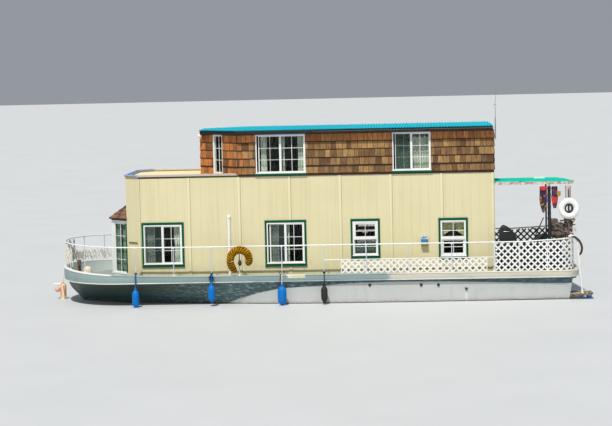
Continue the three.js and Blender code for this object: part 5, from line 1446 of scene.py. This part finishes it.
def build_grill():
    """The grill: a hood's outline shrunk towards each side, on a post; a locker with a sloping lid
    and a long hook beside it."""
    grill, metal, chest, stick = batches(4)
    x, y, z = 4.57, -1.56, 1.58
    hood = np.array([(4.376, 1.396), (4.772, 1.396), (4.788, 1.45), (4.755, 1.56), (4.7, 1.64),
                     (4.6, 1.73), (4.47, 1.78), (4.39, 1.68), (4.376, 1.396)])
    near = through(hood, 49)[:-1] - (x, z)
    depth = np.array([(-0.144, 0.8), (-0.14, 0.88), (-0.128, 0.955), (-0.108, 0.99), (0, 1)])
    depth = np.concatenate([depth, depth[-2::-1] * (-1, 1)])[..., None]
    grill.grid(spread(x + near[:, 0] * depth[:, 1], y + depth[:, 0], z + near[:, 1] * depth[:, 1]),
               wrap=True, caps=True)
    grill.box((4.385, 4.765), (-1.708, -1.412), (1.484, 1.49))
    grill.tube([(x, y, DECK_TOP), (x, y, 1.45)], 0.024, 14)
    grill.revolve([(0.09, 0), (0.09, 0.006), (0.03, 0.02), (0.024, 0.05)], (x, y, DECK_TOP), 20)
    metal.tube(through([(x - 0.1, -1.7, 1.64), (x - 0.095, -1.712, 1.64),
                        (x + 0.055, -1.712, 1.64), (x + 0.06, -1.7, 1.64)], 24), 0.006, 8)
    grill.piece("grill_hood", BLACK, smooth=40, slot="black_enamel", replaces=["grill"])
    metal.piece("grill_handles", STEEL, smooth=60, slot="stainless")
    foot = np.array([(5.2, -1.33), (5.5, -1.33), (5.5, -0.98), (5.2, -0.98)])
    chest.grid([np.column_stack([foot, np.full(4, DECK_TOP)]),
                np.column_stack([foot, (1.4, 1.55, 1.55, 1.4)])], wrap=True, caps=True)
    chest.piece("deck_locker", INK, bevel=0.03, slot="dark_paint")
    stick.tube([(4.84, -1.3, DECK_Z + 0.014), (5.43, -1.565, 1.945)], 0.013, 10)
    stick.piece("boat_hook", HOOP_BROWN, smooth=60, slot="fascia_timber")


def build_motor():
    """A small old motor stowed upright on a stand: lumps of a cowl whose section is a rounded
    square that two sines dent, its leg and clamp, brackets and pipes round it, a grey column and
    a pale can."""
    x, y = 5.76, -1.5
    motor, metal, stand = batches(3)
    u, v = around(48), np.linspace(-np.pi / 2, np.pi / 2, 24)[:, None]

    def root(value):
        return np.sign(value) * np.sqrt(np.abs(value))

    dent = 1 + 0.05 * np.sin(5 * u + 3 * v) * np.cos(7 * v - u)
    lump = spread(dent * root(np.cos(v)) * root(np.cos(u)), root(np.cos(v)) * root(np.sin(u)),
                  dent * root(np.sin(v)))
    for dx, z, size in ((0, 1.715, (0.175, 0.085, 0.105)), (-0.1, 1.845, (0.12, 0.07, 0.07)),
                        (0.08, 1.545, (0.12, 0.07, 0.085)), (-0.12, 1.555, (0.11, 0.06, 0.08)),
                        (0.31, 1.785, (0.06, 0.05, 0.075)), (0.34, 1.64, (0.045, 0.045, 0.05))):
        motor.grid((x + dx, y, z) + lump * size, wrap=True, tone=RNG.uniform(0.2, 0.9))
    motor.tube(through([(x - 0.02, y, 1.6), (x - 0.03, y, 1.2), (x - 0.02, y, 0.86)], 24),
               np.linspace(0.048, 0.036, 24), 14)
    motor.revolve([(0.006, -0.13), (0.035, -0.09), (0.042, 0), (0.034, 0.08), (0.02, 0.11)],
                  (x - 0.02, y, 0.84), 18, axis="X")
    motor.box((x - 0.09, x + 0.11), (y - 0.006, y + 0.006), (0.7, 0.82))
    r = np.linspace(0.02, 0.085, 6)[:, None]
    side = 0.03 * np.sin(np.pi * r / 0.1) * np.array([-1, 1])
    for a in around(3):
        metal.grid(spread(x + 0.085 + side * 0.5, y + r * np.cos(a) - side * np.sin(a),
                          0.84 + r * np.sin(a) + side * np.cos(a)))
    metal.box((x - 0.085, x + 0.085), (y - 0.028, y + 0.028), (1.335, 1.395))
    for p, q, r in (((-0.24, -0.02, 1.93), (0.02, -0.06, 1.8), 0.014),
                    ((-0.2, 0.02, 1.66), (-0.05, 0, 1.52), 0.016),
                    ((0.05, -0.07, 1.86), (0.4, -0.07, 1.9), 0.018),
                    ((0.12, -0.08, 1.8), (0.42, -0.06, 1.76), 0.014),
                    ((0.3, -0.03, 1.92), (0.33, -0.04, 1.66), 0.015),
                    ((0.1, -0.06, 1.62), (0.38, -0.06, 1.54), 0.016),
                    ((-0.12, -0.08, 1.78), (0.1, -0.09, 1.62), 0.01)):
        metal.tube(np.array([p, q]) + (x, y, 0), r, 12)
    for dx in (-0.095, 0.055):
        stand.box((x + dx, x + dx + 0.034), (y - 0.028, y + 0.028), (DECK_TOP, 1.4))
    stand.box((x - 0.1, x + 0.1), (y - 0.03, y + 0.03), (1.02, 1.06))
    motor.piece("motor_body", MACHINE, smooth=50, slot="black_enamel", replaces=["stowed_motor"])
    metal.piece("motor_pipes", MAUVE, smooth=50, slot="stainless")
    stand.piece("motor_stand", BEAM, bevel=0.003, slot="fascia_timber")
    column, can, bits = batches(3)
    column.tube([(5.965, -1.475, DECK_TOP), (5.97, -1.475, 1.6), (5.96, -1.475, 1.96)],
                (0.046, 0.052, 0.04), 16)
    column.revolve([(0.062, 0), (0.062, 0.04), (0.05, 0.05)], (5.968, -1.475, 1.66), 20)
    column.piece("stern_column", GREYED, smooth=50, slot="stainless")
    can.revolve([(0.004, 0), (0.056, 0.004), (0.06, 0.13), (0.066, 0.135), (0.066, 0.155),
                 (0.02, 0.165), (0.004, 0.167)], (6.15, -1.5, 1.535), 22)
    can.box((6.115, 6.145), (-1.515, -1.485), (1.477, 1.537))
    can.piece("pale_can", WHITE, smooth=50)
    bits.tube([(6.1, -1.52, 1.78), (6.185, -1.53, 1.9)], 0.014, 8)
    bits.tube([(5.86, -1.585, 1.435), (5.93, -1.585, 1.455)], 0.018, 8)
    bits.piece("yellow_grips", YELLOW, smooth=50, slot="buff_paint")


# Fenders: name, place along, top, length, radius, finish, half the lanyard's thickness
FENDERS = (("fender_1", -4.303, 0.44, 0.47, 0.085, FENDER, 0.015),
           ("fender_2", -2.48, 0.535, 0.45, 0.085, FENDER, 0.018),
           ("fender_3", -0.798, 0.48, 0.49, 0.105, FENDER, 0.01),
           ("fender_4", 0.205, 0.47, 0.44, 0.078, RUBBER, 0.01))


def twisted(batch, points, radius, turns_per_m=28):
    """A three-strand rope: each strand's centre circles the path at a third of a turn's spacing."""
    chords = np.linalg.norm(np.diff(np.asarray(points, float), axis=0), axis=1)
    path = through(points, max(24, int(chords.sum() * 260)))
    lengths = np.concatenate([[0], np.cumsum(np.linalg.norm(np.diff(path, axis=0), axis=1))])
    along = np.gradient(path, axis=0)
    along /= np.linalg.norm(along, axis=1)[:, None]
    side = np.cross(along, (0.31, 0.94, 0.12))
    side /= np.linalg.norm(side, axis=1)[:, None]
    other = np.cross(along, side)
    for k in range(3):
        a = (2 * np.pi * (lengths * turns_per_m + k / 3))[:, None]
        batch.tube(path + radius * 0.5 * (np.cos(a) * side + np.sin(a) * other), radius * 0.56, 6)


def build_fenders():
    """Ribbed cylinder fenders on lanyards of four colours, taken over the band to their posts, a
    loose coil at the second and a knot at the third; at the stem a buff one with a white bar and
    a ball ahead of it."""
    side = DECK_B + BAND_OUT
    blue, teal, grey, dark = lines = batches(4)
    ribs = Batch()
    for target, (name, x, top, length, r, finish, thick) in zip(lines, FENDERS):
        y = -(side + r + 0.003)
        profile = [(0.004, 0), (0.028, 0.002), (0.034, 0.016), (0.03, 0.03), (r * 0.55, 0.045),
                   (r * 0.85, 0.075), (r * 0.985, 0.115), (r, 0.16)]
        profile += [(q, length - h) for q, h in profile[::-1]]
        body = Batch()
        body.revolve(profile, (x, y, top - length), 32)
        body.revolve([(0.022, -0.004), (0.026, 0.004), (0.026, 0.026), (0.016, 0.036), (0.004, 0.037)],
                     (x, y, top), 20)
        body.piece(f"{name}_body", finish, smooth=50,
                   slot="fender_blue" if finish is FENDER else "fender_dark", replaces=[name])
        if finish is FENDER:
            for share in 0.36 + 0.07 * np.arange(5):
                ribs.revolve([(r - 0.001, -0.004), (r + 0.0022, -0.002), (r + 0.0022, 0.002),
                              (r - 0.001, 0.004)], (x, y, top - length * share), 32)
        over, edge = band_top(x) + 0.006 + thick, -side - 0.01 - thick
        twisted(target, [(x, y, top + 0.026), (x + 0.003, (y + edge) / 2, (top + over) / 2 + 0.01),
                         (x, edge, over - 0.014), (x, edge + 0.03, over + 0.004),
                         (x, -RAIL_Y - 0.016 - thick, over + 0.002)], thick)
        if name == "fender_2":
            for dx, drop, r in ((-0.024, 0.07, 0.014), (0.026, 0.085, 0.013), (0, 0.055, 0.012)):
                (blue if dx else dark).tube(
                    ellipse((x + dx, edge - 0.006 - abs(dx), over - drop), (0.026, 0, 0),
                            (0, 0, 0.065), around(24)), r, 8, closed=True)
        if name == "fender_3":
            for dx, up, r in ((-0.03, 0.03, 0.03), (0.048, 0.05, 0.024)):
                dark.tube(ellipse((x + dx, -RAIL_Y - 0.03, over + up), (r, 0, 0), (0, 0, r),
                                  around(20)), 0.008, 8, closed=True)
            dark.tube([(x - 0.04, -RAIL_Y - 0.034, over + 0.01), (x - 0.04, edge - 0.006,
                      over - 0.03), (x - 0.052, edge - 0.004, over - 0.2)], 0.007, 8)
        for z in over + 0.014 + 0.014 * np.arange(3):
            target.tube(ellipse((x, -RAIL_Y, z), (0.0235, 0, 0), (0, 0.0235, 0), around(24)),
                        0.0105, 8, closed=True)
    ribs.piece("fender_ribs", FENDER, smooth=50, slot="fender_blue")

    bow, bar, round_end = batches(3)
    x = BOW_X - BAND_OUT - 0.08
    bow.revolve([(0.004, 0), (0.044, 0.004), (0.069, 0.03), (0.076, 0.07), (0.076, 0.42),
                 (0.069, 0.46), (0.04, 0.486), (0.024, 0.495), (0.022, 0.524), (0.004, 0.526)],
                (x, 0, -0.095), 28)
    bar.tube([(x - 0.224, 0, 0.373), (x - 0.216, 0, 0.373), (x - 0.06, 0, 0.373)],
             (0.02, 0.025, 0.025), 16)
    bar.tube([(x - 0.146, 0, 0.3), (x - 0.146, 0, 0.373)], 0.01, 8)
    round_end.revolve(ball(0.068, 1.53, 16), (x - 0.146, 0, 0.24), 24)
    bow.piece("bow_fender", STREAKED, smooth=50, slot="buff_paint", replaces=["fender_5"])
    bar.piece("bow_fender_bar", WHITE, smooth=50)
    round_end.piece("bow_fender_ball", PINK, smooth=60, slot="buff_paint")
    over, edge = band_top(BOW_X) + 0.011, BOW_X - BAND_OUT
    twisted(grey, [(x, 0, 0.42), (x + 0.03, 0, 0.64), (edge - 0.012, 0, over - 0.014),
                   (edge + 0.03, 0, over + 0.004), (BOW_X - RAIL_OUT - 0.024, 0, over)], 0.0075)
    for target, name, finish in ((blue, "blue", BLUE_ROPE), (teal, "teal", TEAL_ROPE),
                                 (grey, "grey", ROPE), (dark, "dark", RUBBER)):
        target.piece(f"{name}_lanyards", finish, smooth=60)


def build_buoy():
    """The horseshoe buoy: a padded tube bent round most of a circle, pinched between its ribs and
    opening out towards one end. The slack cover comes from a cloth simulation under pressure;
    webbing straps, a rope and a slim dark light are inside the bend."""
    centre = np.array(BUOY_AT)
    sweep, start, radius, tube_r, flat = math.pi * 1.63, math.radians(-40), 0.215, 0.094, 0.72
    t, b = np.linspace(0, 1, 180)[:, None], around(24)
    a = t * sweep + start
    end = np.clip(13 * np.minimum(t, 1 - t), 0, 1) ** 0.4
    end[[0, -1]] = 0.25
    r = tube_r * end * (1 - 0.09 * np.maximum(0, np.cos(BUOY_RIBS * a)) ** 3)
    d = radius + 0.075 * np.clip((t - 0.72) / 0.28, 0, 1) ** 1.3 + r * np.cos(b)
    cover = Batch()
    cover.grid(centre + spread(d * np.cos(a), r * np.sin(b) * flat, d * np.sin(a)), wrap=True,
               caps=True)
    buoy = cover.piece("buoy_cover", COVER, smooth=70, slot="buoy_cover", replaces=["horseshoe_buoy"])
    puff(buoy, centre)
    straps, light = batches(2)
    for share in (0.1, 0.8):
        a = share * sweep + start
        out = np.array([math.cos(a), 0, math.sin(a)])
        straps.tube(ellipse(centre + radius * out, (tube_r - 0.004) * out,
                            (0, (tube_r - 0.004) * flat, 0), around(28)), 0.007, 8, closed=True)
    twisted(straps, centre + [(0.075, 0, 0.145), (0.085, -0.03, 0.02), (0.075, -0.02, -0.14),
                              (0.11, -0.02, -0.27)], 0.011)
    straps.piece("buoy_straps", ROPE, smooth=60, slot="buoy_cover")
    light.revolve([(0.004, -0.155), (0.03, -0.148), (0.046, -0.11), (0.044, -0.07),
                   (0.026, -0.03), (0.014, -0.012), (0.006, 0), (0.005, 0.145)],
                  centre + (-0.002, -0.005, 0), 20)
    light.piece("buoy_light", HOOP_BROWN, smooth=60, slot="dark_paint")


def puff(obj, centre):
    """Runs a short cloth simulation on a padded piece, then applies it. A weak pressure and no
    gravity leave soft wrinkles; the move of each point is capped so that the size stays."""
    bpy.context.view_layer.objects.active = obj
    remesh = obj.modifiers.new("remesh", "REMESH")
    remesh.mode, remesh.voxel_size = "VOXEL", 0.006
    with bpy.context.temp_override(object=obj, active_object=obj):
        bpy.ops.object.modifier_apply(modifier="remesh")
    mesh = obj.data
    before = np.zeros(len(mesh.vertices) * 3)
    mesh.vertices.foreach_get("co", before)
    cloth = obj.modifiers.new("cloth", "CLOTH")
    settings = cloth.settings
    settings.use_pressure, settings.uniform_pressure_force = True, 4
    settings.effector_weights.gravity = 0
    settings.tension_stiffness = settings.compression_stiffness = 15
    settings.bending_stiffness = 0.6
    settings.shrink_min = -0.06
    settings.quality = 5
    cloth.collision_settings.use_collision = False
    cloth.point_cache.frame_start, cloth.point_cache.frame_end = 1, 16
    scene = bpy.context.scene
    for step in range(1, 17):
        scene.frame_set(step)
    graph = bpy.context.evaluated_depsgraph_get()
    done = obj.evaluated_get(graph).to_mesh()
    after = np.zeros(len(done.vertices) * 3)
    done.vertices.foreach_get("co", after)
    obj.evaluated_get(graph).to_mesh_clear()
    obj.modifiers.remove(cloth)
    scene.frame_set(1)
    move = (after - before).reshape(-1, 3)
    size = np.linalg.norm(move, axis=1)[:, None] + 1e-9
    move *= np.minimum(1, PUFF_CAP / size)
    points = before.reshape(-1, 3) + move
    points[:, 1] = np.maximum(points[:, 1], centre[1] - 0.078)
    mesh.vertices.foreach_set("co", points.ravel())
    mesh.update()
    mesh.shade_smooth()


def build_rim_cap():
    """A flat board on the fore roof's rim, mitred round the facets of the house front."""
    outer, inner = (cabin_outline(FRONT_X, -1.9, WALL_Y, CHAMFER, d)[[1, 2, 3, 4, 5, 0]]
                    for d in (0.026, -0.03))
    corners = ((outer, RIM_Z), (inner, RIM_Z), (inner, RIM_Z + 0.0307), (outer, RIM_Z + 0.0307))
    board = Batch()
    board.grid(np.stack([np.column_stack([plan, np.full(6, z)]) for plan, z in corners], 1),
               wrap=True, caps=True)
    board.piece("rim_cap", FORE_ROOF, bevel=0.003)


def build_fittings():
    """Wall pipe, wall box, antenna, outlets in the hull, the fore deck's vent, and flat trims."""
    pipe = Batch()
    x, y = -2.074, -WALL_Y - 0.021
    pipe.tube([(x, y, DECK_Z + 0.002), (x, y, 2.1)], 0.036, 20)
    pipe.revolve([(0.046, -0.03), (0.048, -0.01), (0.048, 0.012), (0.03, 0.028), (0.004, 0.032)],
                 (x, y, 2.095), 20)
    for z in (0.95, 1.55):
        pipe.revolve([(0.04, -0.012), (0.041, 0), (0.04, 0.012)], (x, y, z), 20)
    pipe.piece("wall_pipe", WHITE, smooth=40)

    box = Batch()
    x, y = 2.606, -WALL_Y
    dome = ellipse((x, 1.486), (0.081, 0), (0, 0.081), np.linspace(0, np.pi, 18))
    outline = np.concatenate([[(x - 0.081, 1.3), (x + 0.081, 1.3)], dome]) - (x, 1.43)
    box.prism(outline + (x, 1.43), (y - 0.0005, y - 0.075), "Y")
    box.prism(outline * 0.94 + (x, 1.43), (y - 0.074, y - 0.104), "Y")
    box.tube([(x, y - 0.107, 1.36), (x, y - 0.107, 1.4)], 0.006, 8)
    box.piece("wall_box_cover", BOX_BLUE, smooth=30, bevel=0.003, slot="fender_blue",
              replaces=["wall_box"])

    mast = Batch()
    x, y = AFT_X + 0.046, -WALL_Y + 0.06
    mast.box((AFT_X + 0.0194, x), (y - 0.028, y + 0.028), (3.882, 3.964))
    mast.tube([(x, y, 3.82), (x, y, 4.33)], 0.013, 14)
    whip = [(x, y, 4.3), (x + 0.006, y, 4.55), (x - 0.004, y, 4.62), (x + 0.016, y, 4.8),
            (x + 0.03, y, 5.118)]
    mast.tube(through(whip, 40), np.linspace(0.007, 0.0035, 40), 8)
    mast.revolve([(0.004, -0.01), (0.03, -0.006), (0.034, 0), (0.03, 0.006), (0.004, 0.01)],
                 (x + 0.001, y, 4.64), 16)
    mast.piece("antenna_mast", STEEL, smooth=50, slot="stainless", replaces=["antenna"])

    outlets, bar, vent = batches(3)
    for x, z in ((1.283, 0.43), (2.505, 0.414), (2.913, 0.408)):
        half = 1.755 + (DECK_B - 1.755) * (z - WELL_Z) / (DECK_Z - WELL_Z)
        outlets.revolve([(0.012, 0), (0.034, 0), (0.034, -0.008), (0.024, -0.012),
                         (0.012, -0.01)], (x, -half - 0.004, z), 18, axis="Y")
    outlets.box((3.545, 3.603), (-1.79, -1.765), (0.278, 0.328))
    outlets.piece("hull_outlets", INK, smooth=40, slot="dark_paint")
    bar.box((-0.17, 0.17), (-0.024, -0.004), (1.48, 1.502), place(-4.416, -1.216, 0, -45))
    bar.piece("facet_bar", OLIVE, bevel=0.004, slot="fascia_timber")
    foot = (-5.7, -0.4, DECK_Z + 0.0004)
    vent.revolve([(0.108, 0), (0.108, 0.21), (0.104, 0.235), (0.09, 0.268), (0.062, 0.292),
                  (0.03, 0.304), (0.004, 0.308)], foot, 32)
    vent.revolve([(0.112, 0), (0.112, 0.014), (0.108, 0.02)], foot, 32)
    vent.piece("vent_cowl", BUFF, smooth=50, slot="buff_paint", replaces=["deck_vent"])


def build_door():
    """The aft door: stiles and rails round two panels and a glazed light, with knobs and hinges."""
    leaf, glass, metal = batches(3)
    y0, y1, z0, z1 = -0.3, 0.42, 0.56, 2.46
    x = (AFT_X - 0.045, AFT_X)
    inset = (AFT_X - 0.035, AFT_X - 0.01)
    for a, b in ((y0, y0 + 0.11), (y1 - 0.11, y1)):
        leaf.box(x, (a, b), (z0, z1))
    for a, b in ((z0, z0 + 0.2), (z0 + 0.78, z0 + 0.93), (z1 - 0.13, z1)):
        leaf.box(x, (y0 + 0.11, y1 - 0.11), (a, b))
    leaf.box(inset, (y0 + 0.1, y1 - 0.1), (z0 + 0.19, z0 + 0.79))
    leaf.box((AFT_X - 0.04, AFT_X - 0.004), (0.045, 0.075), (z0 + 0.2, z0 + 0.78))
    glass.box((AFT_X - 0.028, AFT_X - 0.022), (y0 + 0.105, y1 - 0.105), (z0 + 0.925, z1 - 0.125))
    leaf.box((AFT_X - 0.035, AFT_X - 0.012), (0.05, 0.07), (z0 + 0.93, z1 - 0.13))
    for sx, knob in ((1, AFT_X), (-1, AFT_X - 0.045)):
        metal.revolve([(0.026, 0), (0.026, sx * 0.004), (0.009, sx * 0.01), (0.01, sx * 0.022),
                       (0.023, sx * 0.03), (0.022, sx * 0.042), (0.004, sx * 0.045)],
                      (knob, y0 + 0.07, z0 + 0.9), 20, axis="X")
    for z in (0.7, 1.5, 2.3):
        metal.tube([(AFT_X + 0.008, y1 + 0.003, z - 0.045), (AFT_X + 0.008, y1 + 0.003, z + 0.045)],
                   0.008, 14)
        metal.box((AFT_X - 0.001, AFT_X + 0.003), (y1 - 0.055, y1 + 0.001), (z - 0.045, z + 0.045))
    leaf.piece("door_leaf", GREEN, bevel=0.002, body="door", slot="green_paint", replaces=["aft_door"])
    glass.piece("door_glass", GLASS, body="door")
    metal.piece("door_metal", STEEL, smooth=50, body="door", slot="stainless")
    frame_boards = Batch()
    for a, b in ((y0 - 0.075, y0 - 0.009), (y1 + 0.014, y1 + 0.08)):
        frame_boards.box((AFT_X + 0.0005, AFT_X + 0.018), (a, b), (DECK_TOP, z1 + 0.075))
    frame_boards.box((AFT_X + 0.0005, AFT_X + 0.018), (y0 - 0.009, y1 + 0.014),
                     (z1 + 0.01, z1 + 0.075))
    frame_boards.piece("door_architrave", WHITE, bevel=0.002)


def build_propeller():
    """Three twisted blades on a hub: the pitch angle falls with the radius, the width is a root of
    a sine and the thickness a parabola across it."""
    centre, root, tip, hub = np.array([5.35, 0, SHAFT_Z]), 0.035, 0.173, 0.043
    made = Batch()
    made.revolve([(0.004, -0.055), (0.036, -0.055), (hub, -0.03), (hub, 0.03), (0.03, 0.048),
                  (0.01, 0.055), (0.004, 0.055)], centre, 28, axis="X")
    r = np.linspace(root, tip, 14)[:, None]
    share = (r - root) / (tip - root)
    across = np.linspace(-1, 1, 7)
    c, face = np.append(across, across[-2:0:-1]), np.repeat([1, -1], (7, 5))
    angle = np.radians(56 - 30 * share)
    u = c * 0.062 * np.sqrt(np.maximum(0.03, np.sin(np.pi * (0.18 + 0.8 * share))))
    v = face * 0.005 * (1 - c * c) * (1.1 - share)
    for spin in around(3):
        turn = spin + (u * np.sin(angle) + v * np.cos(angle)) / r
        made.grid(centre + spread(u * np.cos(angle) - v * np.sin(angle), r * np.cos(turn),
                                  r * np.sin(turn)), wrap=True, caps=True)
    made.piece("propeller_blades", BRONZE, smooth=50, body="propeller", slot="bronze",
               replaces=["propeller"])


def dress_nodes():
    """Gives each frame node that stays in view its finish."""
    finishes = {
        "lower_wall_port": SIDING_SIDE, "lower_wall_starboard": SIDING_SIDE,
        "lower_wall_front": SIDING_END, "lower_wall_aft": SIDING_END, "upper_wall_port": LAP,
        "upper_wall_starboard": LAP, "upper_wall_front": LAP, "upper_wall_aft": LAP,
        "upper_floor": FORE_ROOF, "roof_deck": FASCIA, "canopy_frame": CANOPY_BEAM, "bow_bitt": BEAM,
        "rudder": BRONZE}
    for name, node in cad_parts.items():
        finish = finishes.get(name, WHITE)
        node.data.materials.clear()
        node.data.materials.append(finish.material)


def build_stage():
    """A pale floor at the waterline, a pale sky and one soft sun from beyond the port bow."""
    mesh = bpy.data.meshes.new("floor")
    size = 300
    mesh.from_pydata([(-size, -size, 0), (size, -size, 0), (size, size, 0), (-size, size, 0)], [],
                     [(0, 1, 2, 3)])
    floor = bpy.data.objects.new("floor", mesh)
    bpy.context.scene.collection.objects.link(floor)
    mesh.materials.append(plain_floor().material)
    world = bpy.data.worlds.new("world")
    bpy.context.scene.world = world
    world.use_nodes = True
    sky = world.node_tree.nodes["Background"]
    sky.inputs["Color"].default_value = (0.84, 0.91, 1, 1)
    sky.inputs["Strength"].default_value = SKY_STRENGTH
    bpy.context.scene.view_settings.view_transform = "Standard"
    lamp = bpy.data.lights.new("sun", "SUN")
    lamp.energy, lamp.angle, lamp.color = SUN_STRENGTH, math.radians(0.55), (1, 0.965, 0.9)
    ahead = np.array(SUN_TRAVEL) / np.linalg.norm(SUN_TRAVEL)
    side = np.cross(ahead, (0, 0, 1))
    side /= np.linalg.norm(side)
    stand("sun", lamp, side, np.cross(side, ahead), ahead, (-3, -12, 18))


dress_nodes()
build_hull()
build_bulwark()
build_windows()
build_shingles()
build_bay()
build_roof()
build_rim_cap()
build_rails()
build_stern_lattice()
build_canopy()
build_curtains()
build_charm()
build_hung_cloth()
build_ring()
build_platform()
build_grill()
build_motor()
build_fenders()
build_buoy()
build_fittings()
build_door()
build_propeller()
build_stage()
aim_camera()
